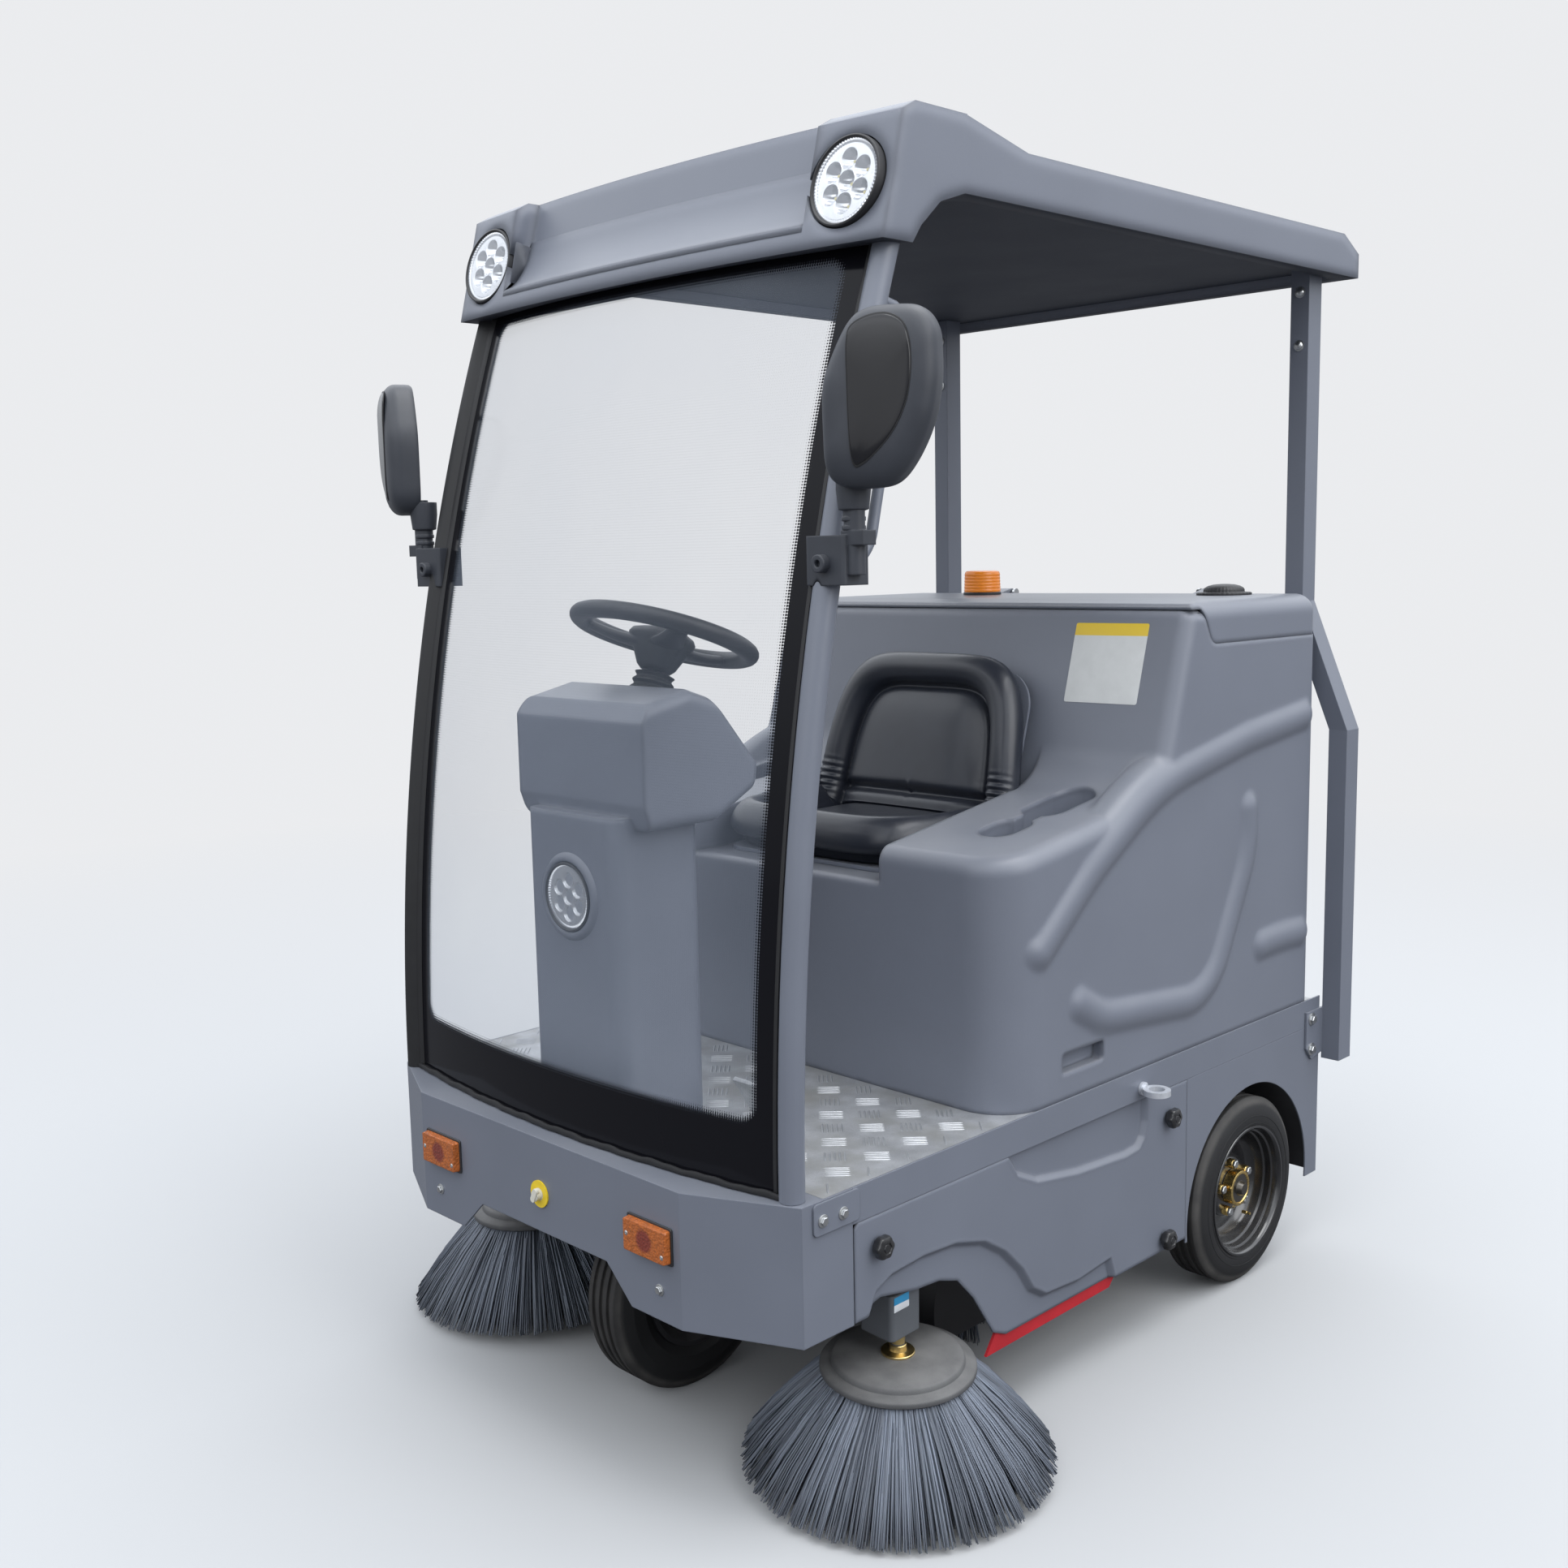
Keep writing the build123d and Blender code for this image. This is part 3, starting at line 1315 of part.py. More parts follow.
with BuildPart() as front_rim:
    plane = Plane(origin=(0, aft(front_axle), tyre_radius), x_dir=(1, 0, 0), z_dir=(0, -1, 0))
    bore = front_pin_radius + run_gap
    with BuildSketch(plane):
        with BuildLine():
            Polyline(
                (-44, rim_radius),
                (-44, rim_radius - 8),
                (-30, 84),
                (-40, 80),
                (-50, 70),
                (-50, bore),
                (50, bore),
                (50, 70),
                (40, 80),
                (30, 84),
                (44, rim_radius - 8),
                (44, rim_radius),
                close=True,
            )
        make_face()
    revolve(axis=Axis(plane.origin, (1, 0, 0)), revolution_arc=360)
front_rim.part.label = "front_rim"
export_step(front_rim.part, "parts/front_rim.step")

with BuildPart() as front_fork:
    for side in (1, -1):
        with BuildSketch(side_sketch(side * fork_inner)):
            with BuildLine():
                Polyline(
                    (aft(front_axle) - 46, fork_crown_bottom + fork_crown),
                    (aft(front_axle) + 46, fork_crown_bottom + fork_crown),
                    (aft(front_axle) + 24, tyre_radius - 26),
                    (aft(front_axle) - 24, tyre_radius - 26),
                    close=True,
                )
            make_face()
        extrude(amount=side * fork_leg)
    with BuildSketch(Plane.XY.offset(fork_crown_bottom)):
        with Locations((0, aft(front_axle))):
            Rectangle(2 * (fork_inner + fork_leg), 92)
    extrude(amount=fork_crown)
    with BuildSketch(Plane.XY.offset(fork_crown_bottom)):
        with Locations((0, aft(front_axle))):
            Circle(stem_radius + 10)
    extrude(amount=head_bottom - seat_gap - fork_crown_bottom)
    with BuildSketch(Plane.XY.offset(fork_crown_bottom)):
        with Locations((0, aft(front_axle))):
            Circle(stem_radius)
    extrude(amount=rail_top - 4 - fork_crown_bottom)
    with BuildSketch(side_sketch(-fork_inner - 5)):
        with Locations((aft(front_axle), tyre_radius)):
            Circle(front_pin_radius)
    extrude(amount=2 * fork_inner + 10)
front_fork.part.label = "front_fork"
export_step(front_fork.part, "parts/front_fork.step")

# Side brushes: an arm with its motor box, a dish on the shaft and a ring of bristles
arm_x = body_half_width - 100.0
motor_half = 34.0
motor_height = 74.0
motor_bottom = 60.0
motor_inboard = 16.0
for side in (1, -1):
    tip = (
        side * sin(radians(brush_lean_out)),
        -sin(radians(brush_lean_front)),
        sqrt(1 - sin(radians(brush_lean_out)) ** 2 - sin(radians(brush_lean_front)) ** 2),
    )
    brush_base = Plane(origin=(side * brush_x, aft(brush_y), dish_z), x_dir=(1, 0, 0), z_dir=tip)
    brush_axis = Axis(brush_base.origin, tip)
    with BuildPart() as brush_arm:
        with BuildSketch(brush_base.offset(motor_bottom)):
            with Locations((-side * motor_inboard, 0)):
                RectangleRounded(2 * motor_half, 2 * motor_half, 8)
        extrude(amount=motor_height)
        with BuildSketch(side_sketch(side * (arm_x - 24))):
            with Locations((aft(arm_pivot_y), arm_pivot_z)):
                Circle(18)
        extrude(amount=side * 52)
        with BuildSketch(side_sketch(side * arm_x)):
            with BuildLine():
                Polyline(
                    (aft(arm_pivot_y), arm_pivot_z + 14),
                    (aft(arm_pivot_y), arm_pivot_z - 14),
                    (aft(brush_y) + motor_half - 10, 262),
                    (aft(brush_y) + motor_half - 10, 300),
                    close=True,
                )
            make_face()
        extrude(amount=side * 26)
        with BuildSketch(side_sketch(side * (arm_x - 25))):
            with Locations((aft(arm_pivot_y), arm_pivot_z)):
                Circle(arm_pin_radius + run_gap)
        extrude(amount=side * 54, mode=Mode.SUBTRACT)
        # Output shaft below the motor
        with BuildSketch(brush_base.offset(30)):
            Circle(11)
        extrude(amount=37)
    brush_arm.part.label = f"brush_arm_{name_of(side)}"
    export_step(brush_arm.part, f"parts/{brush_arm.part.label}.step")
    with BuildPart() as brush_dish:
        with BuildSketch(brush_base):
            Circle(dish_radius)
        extrude(amount=12)
        with BuildSketch(brush_base.offset(12)):
            Circle(dish_radius - 8)
        extrude(amount=14, taper=30)
        with BuildSketch(brush_base.offset(20)):
            Circle(27)
        extrude(amount=32)
        with BuildSketch(brush_base.offset(29)):
            Circle(11 + run_gap)
        extrude(amount=30, mode=Mode.SUBTRACT)
    brush_dish.part.label = f"brush_dish_{name_of(side)}"
    export_step(brush_dish.part, f"parts/{brush_dish.part.label}.step")
    with BuildPart() as bristles:
        drop = dish_z - brush_tip_z
        section = Plane(origin=brush_base.origin, x_dir=brush_base.x_dir, z_dir=brush_base.y_dir)
        with BuildSketch(section):
            with BuildLine():
                Polyline(
                    (dish_radius - 42, seat_gap),
                    (dish_radius - 4, seat_gap),
                    (brush_tip_radius, drop - 8),
                    (brush_tip_radius - 10, drop),
                    (brush_tip_radius - 78, drop),
                    close=True,
                )
            make_face()
        revolve(axis=brush_axis, revolution_arc=360)
    bristles.part.label = f"bristles_{name_of(side)}"
    export_step(bristles.part, f"parts/{bristles.part.label}.step")

# Main brush in its housing
with BuildPart() as main_brush:
    with BuildSketch(side_sketch(-main_brush_half)):
        with Locations((aft(main_brush_y), main_brush_z)):
            Circle(main_brush_radius)
    extrude(amount=2 * main_brush_half)
    with BuildSketch(side_sketch(-rail_inner + 1)):
        with Locations((aft(main_brush_y), main_brush_z)):
            Circle(main_shaft_radius)
    extrude(amount=2 * (rail_inner - 1))
main_brush.part.label = "main_brush"
export_step(main_brush.part, "parts/main_brush.step")

housing_radius = main_brush_radius + housing_gap
with BuildPart() as brush_housing:
    with BuildSketch(side_sketch(-rail_inner + seat_gap)):
        with Locations((aft(main_brush_y), main_brush_z)):
            Circle(housing_radius + sheet)
        with Locations((aft(main_brush_y), (main_brush_z + rail_bottom + 40) / 2)):
            Rectangle(80, rail_bottom + 40 - main_brush_z)
        with Locations((aft(main_brush_y), main_brush_z - housing_radius)):
            Rectangle(3 * housing_radius, 2 * (housing_radius - 60), mode=Mode.SUBTRACT)
    extrude(amount=2 * (rail_inner - seat_gap))
    with BuildSketch(side_sketch(-rail_inner + seat_gap + sheet)):
        with Locations((aft(main_brush_y), main_brush_z)):
            Circle(housing_radius)
    extrude(amount=2 * (rail_inner - seat_gap - sheet), mode=Mode.SUBTRACT)
    with BuildSketch(side_sketch(-rail_inner + seat_gap + sheet)):
        with Locations((aft(main_brush_y), main_brush_z + housing_radius + sheet + 300)):
            Rectangle(200, 600)
        with Locations((aft(main_brush_y + housing_radius), main_brush_z + 30)):
            Rectangle(housing_radius, 90)
    extrude(amount=2 * (rail_inner - seat_gap - sheet), mode=Mode.SUBTRACT)
    with BuildSketch(side_sketch(-rail_inner)):
        with Locations((aft(main_brush_y), main_brush_z)):
            Circle(main_shaft_radius + run_gap)
    extrude(amount=2 * rail_inner, mode=Mode.SUBTRACT)
brush_housing.part.label = "brush_housing"
export_step(brush_housing.part, "parts/brush_housing.step")

# Hopper: an open-fronted box on runners below the deck
with BuildPart() as hopper:
    with BuildSketch(side_sketch(-hopper_half)):
        with BuildLine():
            Polyline(
                (aft(hopper_front), hopper_bottom + 40),
                (aft(hopper_front) + 60, hopper_bottom),
                (aft(hopper_rear), hopper_bottom),
                (aft(hopper_rear), hopper_top),
                (aft(hopper_front), hopper_top),
                close=True,
            )
        make_face()
    extrude(amount=2 * hopper_half)
    with BuildSketch(side_sketch(-hopper_half + 4)):
        with BuildLine():
            Polyline(
                (aft(hopper_front) - 5, hopper_bottom + 50),
                (aft(hopper_front) + 64, hopper_bottom + 4),
                (aft(hopper_rear) - 4, hopper_bottom + 4),
                (aft(hopper_rear) - 4, hopper_top - 4),
                (aft(hopper_front) + 4, hopper_top - 4),
                (aft(hopper_front) + 4, 290),
                (aft(hopper_front) - 5, 290),
                close=True,
            )
        make_face()
    extrude(amount=2 * hopper_half - 8, mode=Mode.SUBTRACT)
    for side in (1, -1):
        with BuildSketch(cross_sketch(hopper_front + 20)):
            with Locations((side * (hopper_half + 8), flange_bottom + flange_height / 2)):
                Rectangle(20, flange_height)
        extrude(amount=-(hopper_rear - hopper_front - 40))
hopper.part.label = "hopper"
export_step(hopper.part, "parts/hopper.step")

# Mirrors: moulded heads on clamps round the front posts
mirror_x = body_half_width + 80.0
mirror_z = 1620.0
clamp_z = 1408.0
mirror_turn = 25.0
for side in (1, -1):
    head_plane = Plane(
        origin=(side * mirror_x, aft(176), mirror_z),
        x_dir=(cos(radians(mirror_turn)), side * sin(radians(mirror_turn)), 0),
        z_dir=(side * sin(radians(mirror_turn)), -cos(radians(mirror_turn)), 0),
    )
    with BuildPart() as mirror_head:
        with BuildSketch(head_plane.offset(-28)):
            RectangleRounded(158, 236, 60)
        extrude(amount=56, taper=10)
    mirror_head.part.label = f"mirror_head_{name_of(side)}"
    export_step(mirror_head.part, f"parts/{mirror_head.part.label}.step")
    clamp_y = post_aft(clamp_z)
    with BuildPart() as mirror_clamp:
        with BuildSketch(Plane.XY.offset(clamp_z - 34)):
            with Locations((side * (post_x + 14), aft(clamp_y))):
                RectangleRounded(74, 52, 6)
        extrude(amount=68)
        with BuildSketch(Plane.XY.offset(clamp_z - 20)):
            with Locations((side * (mirror_x - 55), aft(clamp_y) - 6)):
                Circle(13)
        extrude(amount=mirror_z - 118 - clamp_z + 46)
        with BuildSketch(Plane.XY.offset(clamp_z + 20)):
            with Locations((side * (mirror_x - 50), aft(clamp_y) - 6)):
                Rectangle(40, 26)
        extrude(amount=20)
        add(front_posts.part, mode=Mode.SUBTRACT)
        add(post_sockets.part, mode=Mode.SUBTRACT)
        add(mirror_head.part, mode=Mode.SUBTRACT)
    mirror_clamp.part.label = f"mirror_clamp_{name_of(side)}"
    export_step(mirror_clamp.part, f"parts/{mirror_clamp.part.label}.step")
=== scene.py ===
from math import cos, pi, radians, sin, sqrt

import bmesh
import bpy
import numpy as np
from mathutils import Matrix, Vector


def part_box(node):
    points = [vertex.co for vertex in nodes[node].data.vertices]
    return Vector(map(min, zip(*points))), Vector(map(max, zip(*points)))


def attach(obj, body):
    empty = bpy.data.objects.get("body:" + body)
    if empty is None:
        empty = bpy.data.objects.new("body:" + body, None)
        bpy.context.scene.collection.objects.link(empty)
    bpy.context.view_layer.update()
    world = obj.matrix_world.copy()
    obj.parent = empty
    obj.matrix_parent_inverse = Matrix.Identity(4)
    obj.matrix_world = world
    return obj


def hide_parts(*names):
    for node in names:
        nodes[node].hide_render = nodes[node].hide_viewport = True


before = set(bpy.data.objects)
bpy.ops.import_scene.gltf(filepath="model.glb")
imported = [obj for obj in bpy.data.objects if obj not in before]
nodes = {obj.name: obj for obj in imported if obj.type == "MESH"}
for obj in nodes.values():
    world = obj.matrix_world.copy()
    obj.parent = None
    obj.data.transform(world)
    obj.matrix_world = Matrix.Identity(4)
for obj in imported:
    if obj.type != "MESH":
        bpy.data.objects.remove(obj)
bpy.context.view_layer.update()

# The yard: a pale floor and a soft overcast sky, seen from the front left corner
# at a standing person's eye height.


def tree_of(name):
    """A new material with an empty node tree, its tree and its output."""
    material = bpy.data.materials.new(name)
    material.use_nodes = True
    tree = material.node_tree
    tree.nodes.clear()
    return material, tree, tree.nodes.new("ShaderNodeOutputMaterial")


def node(tree, kind, inputs=None, **settings):
    """A shader node with its settings; each of its inputs gets a value or a socket."""
    made = tree.nodes.new("ShaderNode" + kind)
    for setting, value in settings.items():
        setattr(made, setting, value)
    for slot, value in (inputs or {}).items():
        if isinstance(value, bpy.types.NodeSocket):
            tree.links.new(value, made.inputs[slot])
        else:
            made.inputs[slot].default_value = value
    return made


def spread(tree, value, low, high, to_low=0.0, to_high=1.0):
    """Value carried from the range low..high to the range to_low..to_high, and held there."""
    ranges = {"From Min": low, "From Max": high, "To Min": to_low, "To Max": to_high}
    return node(tree, "MapRange", {"Value": value, **ranges}).outputs["Result"]


def maths(tree, operation, *values):
    """One arithmetic step on sockets or numbers."""
    return node(tree, "Math", dict(enumerate(values)), operation=operation).outputs[0]


def length_of(tree, vector):
    """How long a vector is."""
    return node(tree, "VectorMath", {0: vector}, operation="LENGTH").outputs["Value"]


def coordinate(tree, vector, name):
    """X, Y or Z of a vector."""
    return node(tree, "SeparateXYZ", {0: vector}).outputs[name]


def lay_over(tree, amount, below, above):
    """Colour below with colour above laid on it by amount; each is a socket or three numbers."""
    below, above = ((*tone, 1) if isinstance(tone, tuple) else tone for tone in (below, above))
    return node(tree, "Mix", {0: amount, 6: below, 7: above}, data_type="RGBA").outputs[2]


def lay_look(tree, output, amount, below, above):
    """Gives the output one shader with another laid on it by amount."""
    mix = node(tree, "MixShader", {"Fac": amount, 1: below.outputs[0], 2: above.outputs[0]})
    tree.links.new(mix.outputs[0], output.inputs["Surface"])


def stage_finish(name, seen, lit, cast):
    """Floor paint: lit for the camera, plain seen far off, and the dull tone cast back on things."""
    material, tree, output = tree_of(name)
    rays = node(tree, "LightPath").outputs["Is Camera Ray"]
    paint = node(tree, "BsdfPrincipled", {"Base Color": lay_over(tree, rays, cast, lit), "Roughness": 0.9})
    glow = node(tree, "Emission", {"Color": (*seen, 1)})
    far = spread(tree, length_of(tree, node(tree, "NewGeometry").outputs["Position"]), 2.0, 6.5)
    lay_look(tree, output, maths(tree, "MULTIPLY", far, rays), paint, glow)
    return material


yard_half = 60.0
yard_pale = (0.83, 0.84, 0.86)
floor_corners = [(x * yard_half, y * yard_half, 0) for x, y in ((-1, -1), (1, -1), (1, 1), (-1, 1))]
floor_mesh = bpy.data.meshes.new("yard_floor")
floor_mesh.from_pydata(floor_corners, [], [(0, 1, 2, 3)])
floor = bpy.data.objects.new("yard_floor", floor_mesh)
bpy.context.scene.collection.objects.link(floor)
floor_mesh.materials.append(stage_finish("yard_floor", yard_pale, (0.40, 0.405, 0.41), (0.10, 0.10, 0.105)))

world = bpy.data.worlds.new("overcast")
bpy.context.scene.world = world
world.use_nodes = True
sky = world.node_tree
sky.nodes.clear()
sky_height = coordinate(sky, node(sky, "TexCoord").outputs["Generated"], "Z")
sky_light = node(sky, "Background", {
    "Color": (0.90, 0.94, 1.0, 1), "Strength": spread(sky, sky_height, 0.05, 0.55, 0.5, 2.0),
})
sky_seen = node(sky, "Background", {"Color": (*yard_pale, 1), "Strength": 1.0})
sky_rays = node(sky, "LightPath").outputs["Is Camera Ray"]
lay_look(sky, node(sky, "OutputWorld"), sky_rays, sky_light, sky_seen)


def soft_lamp(name, place, target, size, power):
    """A large square lamp at place that faces target."""
    data = bpy.data.lights.new(name, "AREA")
    data.size = size
    data.energy = power
    lamp = bpy.data.objects.new(name, data)
    lamp.location = place
    lamp.rotation_euler = (Vector(target) - Vector(place)).to_track_quat("-Z", "Y").to_euler()
    bpy.context.scene.collection.objects.link(lamp)


soft_lamp("sky_over", (1.4, 0.3, 6.5), (0, 0, 0.8), 4.0, 190)
soft_lamp("sky_front", (0.6, -6.5, 3.6), (0, 0, 1.0), 5.0, 32)
soft_lamp("sky_left", (5.5, 0.2, 3.6), (0, 0.2, 0.9), 4.0, 105)

eye_focal_pixels, frame_pixels = 2031.6, 1932
eye_place = (2.0733, -2.2939, 1.4166)
eye = bpy.data.cameras.new("eye")
eye.sensor_width = 36.0
eye.lens = eye_focal_pixels / frame_pixels * eye.sensor_width
eye_object = bpy.data.objects.new("eye", eye)
bpy.context.scene.collection.objects.link(eye_object)
eye_yaw, eye_pitch, eye_roll = radians(45.5), radians(7.9), radians(-1.2)
ahead = Vector((-sin(eye_yaw) * cos(eye_pitch), cos(eye_yaw) * cos(eye_pitch), -sin(eye_pitch)))
level = Vector((cos(eye_yaw), sin(eye_yaw), 0))
upward = level.cross(ahead)
eye_right = level * cos(eye_roll) + upward * sin(eye_roll)
eye_up = upward * cos(eye_roll) - level * sin(eye_roll)
eye_turn = Matrix((eye_right, eye_up, -ahead)).transposed()
eye_object.matrix_world = Matrix.Translation(eye_place) @ eye_turn.to_4x4()
bpy.context.scene.camera = eye_object
bpy.context.scene.view_settings.view_transform = "Standard"

# Frame, front fork, brush housing and hopper: welded steel tube and folded sheet under
# the deck, in satin black paint that has caught road dust.
fascia_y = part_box("front_fascia")[0].y


def aft(millimetres):
    """Y of a place that lies so many millimetres behind the fascia's front face."""
    return fascia_y + millimetres / 1000


def noise(tree, place, scale, detail):
    """A noise pattern of so many waves a metre on the piece's own coordinates."""
    return node(tree, "TexNoise", {"Vector": place, "Scale": scale, "Detail": detail}).outputs["Fac"]


def upward_look(tree):
    """1 on faces that look straight up, 0 on walls and -1 on faces that look at the ground."""
    return coordinate(tree, node(tree, "NewGeometry").outputs["Normal"], "Z")


def principled(tree, output, inputs):
    """Gives the output a principled surface with these inputs."""
    shader = node(tree, "BsdfPrincipled", inputs)
    tree.links.new(shader.outputs[0], output.inputs["Surface"])


def finish(
    name, colour, rough, drift=0.12, scale=6.0, grain=900.0, depth=0.00008, metal=0.0,
    coat=0.0, soften=0.0, dust=0.0, dust_tone=(0.36, 0.35, 0.33), zone=None, zone_look=None,
    pattern=None,
):
    """Principled surface on Object coordinates.

    Two noises, coarse and fine, drift the colour by +-drift and the roughness with it, and the
    fine one, at grain waves a metre, raises the skin by depth. soften rounds the shading of
    edges by that radius. dust is laid on faces that look up. zone makes a mask, inside which
    zone_look gives another colour, roughness and metal. pattern makes the height instead of
    the fine noise.
    """
    material, tree, output = tree_of(name)
    place = node(tree, "TexCoord").outputs["Object"]
    coarse = noise(tree, place, scale, 4.0)
    fine = noise(tree, place, grain, 2.0)
    mixed = maths(tree, "ADD", maths(tree, "MULTIPLY", coarse, 0.65), maths(tree, "MULTIPLY", fine, 0.35))
    pale = tuple(min(1.0, c * (1 + drift)) for c in colour)
    deep = tuple(c * (1 - drift) for c in colour)
    shade = lay_over(tree, spread(tree, mixed, 0.3, 0.7), deep, pale)
    gloss = spread(tree, coarse, 0.0, 1.0, max(0.02, rough - 0.06), min(1.0, rough + 0.08))
    if dust:
        up = spread(tree, upward_look(tree), 0.1, 1.0, 0.0, dust)
        shade = lay_over(tree, maths(tree, "MULTIPLY", up, coarse), shade, dust_tone)
    if zone:
        inside = zone(tree, place)
        zone_colour, zone_rough, zone_metal = zone_look
        shade = lay_over(tree, inside, shade, zone_colour)
        gloss = maths(tree, "ADD", gloss, maths(tree, "MULTIPLY", inside, zone_rough - rough))
        if zone_metal != metal:
            metal = spread(tree, inside, 0.0, 1.0, metal, zone_metal)
    height = pattern(tree, place) if pattern else fine
    skin = node(tree, "Bump", {"Distance": depth, "Strength": 1.0, "Height": height})
    if soften:
        edge = node(tree, "Bevel", {"Radius": soften}, samples=6)
        tree.links.new(edge.outputs["Normal"], skin.inputs["Normal"])
    principled(tree, output, {
        "Base Color": shade, "Roughness": gloss, "Metallic": metal, "Coat Weight": coat,
        "Coat Roughness": 0.15, "Normal": skin.outputs["Normal"],
    })
    return material


def dress(material, *names):
    """Gives CAD nodes one material on every slot."""
    for name in names:
        slots = nodes[name].data.materials
        if len(slots) == 0:
            slots.append(material)
        for index in range(len(slots)):
            slots[index] = material


black_paint = finish(
    "black_paint", (0.022, 0.022, 0.024), 0.38, drift=0.2, scale=14.0, depth=0.00005,
    soften=0.0015, dust=0.35, dust_tone=(0.16, 0.15, 0.14),
)
dress(black_paint, "frame", "front_fork", "brush_housing", "hopper")

# Fascia, side plates and arch panels: folded 3 mm steel sheet, powder-coated blue-grey with
# a fine orange-peel skin, bolted to the frame with zinc hexagon bolts on washers.
body_grey = (0.146, 0.160, 0.196)
powder_coat = finish(
    "powder_coat", body_grey, 0.42, drift=0.05, grain=1400.0, depth=0.00006, coat=0.15,
    soften=0.0022, dust=0.22,
)
dress(
    powder_coat, "front_fascia", "side_plate_left", "side_plate_right", "arch_panel_left",
    "arch_panel_right",
)
bright_zinc = finish(
    "bright_zinc", (0.56, 0.57, 0.57), 0.3, drift=0.1, scale=90.0, grain=600.0,
    depth=0.00004, metal=1.0,
)


def square_to(axis):
    """Two unit directions square to axis and to each other."""
    axis = np.asarray(axis, float) / np.linalg.norm(axis)
    lean = (0.0, 0.0, 1.0) if abs(axis[2]) < 0.7 else (0.0, 1.0, 0.0)
    first = np.cross(lean, axis)
    first /= np.linalg.norm(first)
    return first, np.cross(axis, first)


def lathe(profile, origin, axis, turns, swell=None, unit=0.001):
    """Points of a turned shape, as a grid of profile rows and turns columns.

    Row (r, h) at angle a lies at origin + h axis + r swell(a) (cos a first + sin a second),
    with r and h in units, which are millimetres unless another is given.
    """
    profile = np.asarray(profile, float) * unit
    axis = np.asarray(axis, float) / np.linalg.norm(axis)
    first, second = square_to(axis)
    angle = np.arange(turns) * 2 * pi / turns
    wide = swell(angle) if swell else np.ones(turns)
    ring = np.cos(angle)[:, None] * first + np.sin(angle)[:, None] * second
    radial = profile[:, 0, None, None] * (ring * wide[:, None])[None]
    return np.asarray(origin, float) + profile[:, 1, None, None] * axis + radial


def face_piece(name, points, faces, material):
    """A smooth mesh object from points and four-sided faces, linked to the scene."""
    mesh = bpy.data.meshes.new(name)
    mesh.from_pydata(np.asarray(points, float).tolist(), [], np.asarray(faces, int).tolist())
    piece = bpy.data.objects.new(name, mesh)
    bpy.context.scene.collection.objects.link(piece)
    mesh.materials.append(material)
    mesh.polygons.foreach_set("use_smooth", [True] * len(mesh.polygons))
    return piece


def quads(index):
    """Corner numbers of the four-sided faces between the points of a numbered grid."""
    corners = (index[:-1, :-1], index[:-1, 1:], index[1:, 1:], index[1:, :-1])
    return np.stack(corners, axis=-1).reshape(-1, 4)


def grid_piece(name, grids, material, loop=True, sharp=35.0, merge=0.00002):
    """One mesh from grids of points, each joined in quads.

    loop joins each grid's last column to its first. Doubled points are merged, which closes
    seams and poles, the faces are turned outwards, and edges over sharp degrees stay crisp.
    """
    points, faces, start = [], [], 0
    for grid in grids:
        rows, columns = grid.shape[:2]
        index = start + np.arange(rows * columns).reshape(rows, columns)
        if loop:
            index = np.hstack([index, index[:, :1]])
        faces.append(quads(index))
        points.append(grid.reshape(-1, 3))
        start += rows * columns
    piece = face_piece(name, np.concatenate(points), np.concatenate(faces), material)
    work = bmesh.new()
    work.from_mesh(piece.data)
    bmesh.ops.remove_doubles(work, verts=work.verts, dist=merge)
    bmesh.ops.dissolve_degenerate(work, edges=work.edges, dist=merge / 2)
    bmesh.ops.recalc_face_normals(work, faces=work.faces)
    work.to_mesh(piece.data)
    work.free()
    piece.data.set_sharp_from_angle(angle=radians(sharp))
    return piece


def carried(piece, body, slot, *replaced):
    """Sets the body that a piece rides on and hides the nodes that it stands for; slot is not used."""
    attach(piece, body)
    if replaced:
        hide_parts(*replaced)


def fitted(name, grids, material, body, slot, *replaced, **joining):
    """A piece from grids of points, carried by a body."""
    piece = grid_piece(name, grids, material, **joining)
    carried(piece, body, slot, *replaced)
    return piece


def hex_bolt(place, out, size):
    """A washer and a hexagon head at place, facing out; size is the head's corner radius."""
    washer = [(0, 0), (1.45, 0), (1.45, 0.18), (1.3, 0.26), (0, 0.26)]
    head = [(0, 0.2), (1, 0.2), (1, 0.78), (0.86, 0.9), (0, 0.9)]
    return [lathe(washer, place, out, 20, unit=size), lathe(head, place, out, 6, unit=size)]


fascia_bolt_x, fascia_bolt_z = 0.290, 0.348
fascia_bolts = []
for side in (1, -1):
    fascia_bolts += hex_bolt((side * fascia_bolt_x, aft(0), fascia_bolt_z), (0, -1, 0), 0.0062)
fitted("fascia_bolts", fascia_bolts, bright_zinc, "chassis", "zinc_steel")

gusset_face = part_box("side_plate_left")[1].x
gusset_bolts = []
for side in (1, -1):
    for behind, height in ((118, 0.481), (160, 0.480)):
        gusset_bolts += hex_bolt((side * gusset_face, aft(behind), height), (side, 0, 0), 0.0068)
fitted("gusset_bolts", gusset_bolts, bright_zinc, "chassis", "zinc_steel")

# Marker lamps: amber acrylic lenses with a pebbled back, over a round bulb seat that shows
# darker, on thin black bases held by two small screws.
marker_x, marker_z = 0.272, 0.422


def off_line(tree, place, axis, centre):
    """Distance of a place from the line along axis, X, Y or Z, through centre."""
    shift = node(tree, "VectorMath", {0: place, 1: centre}, operation="SUBTRACT")
    keep = tuple(0.0 if a else 1.0 for a in axis)
    flat = node(tree, "VectorMath", {0: shift.outputs[0], 1: keep}, operation="MULTIPLY")
    return length_of(tree, flat.outputs[0])


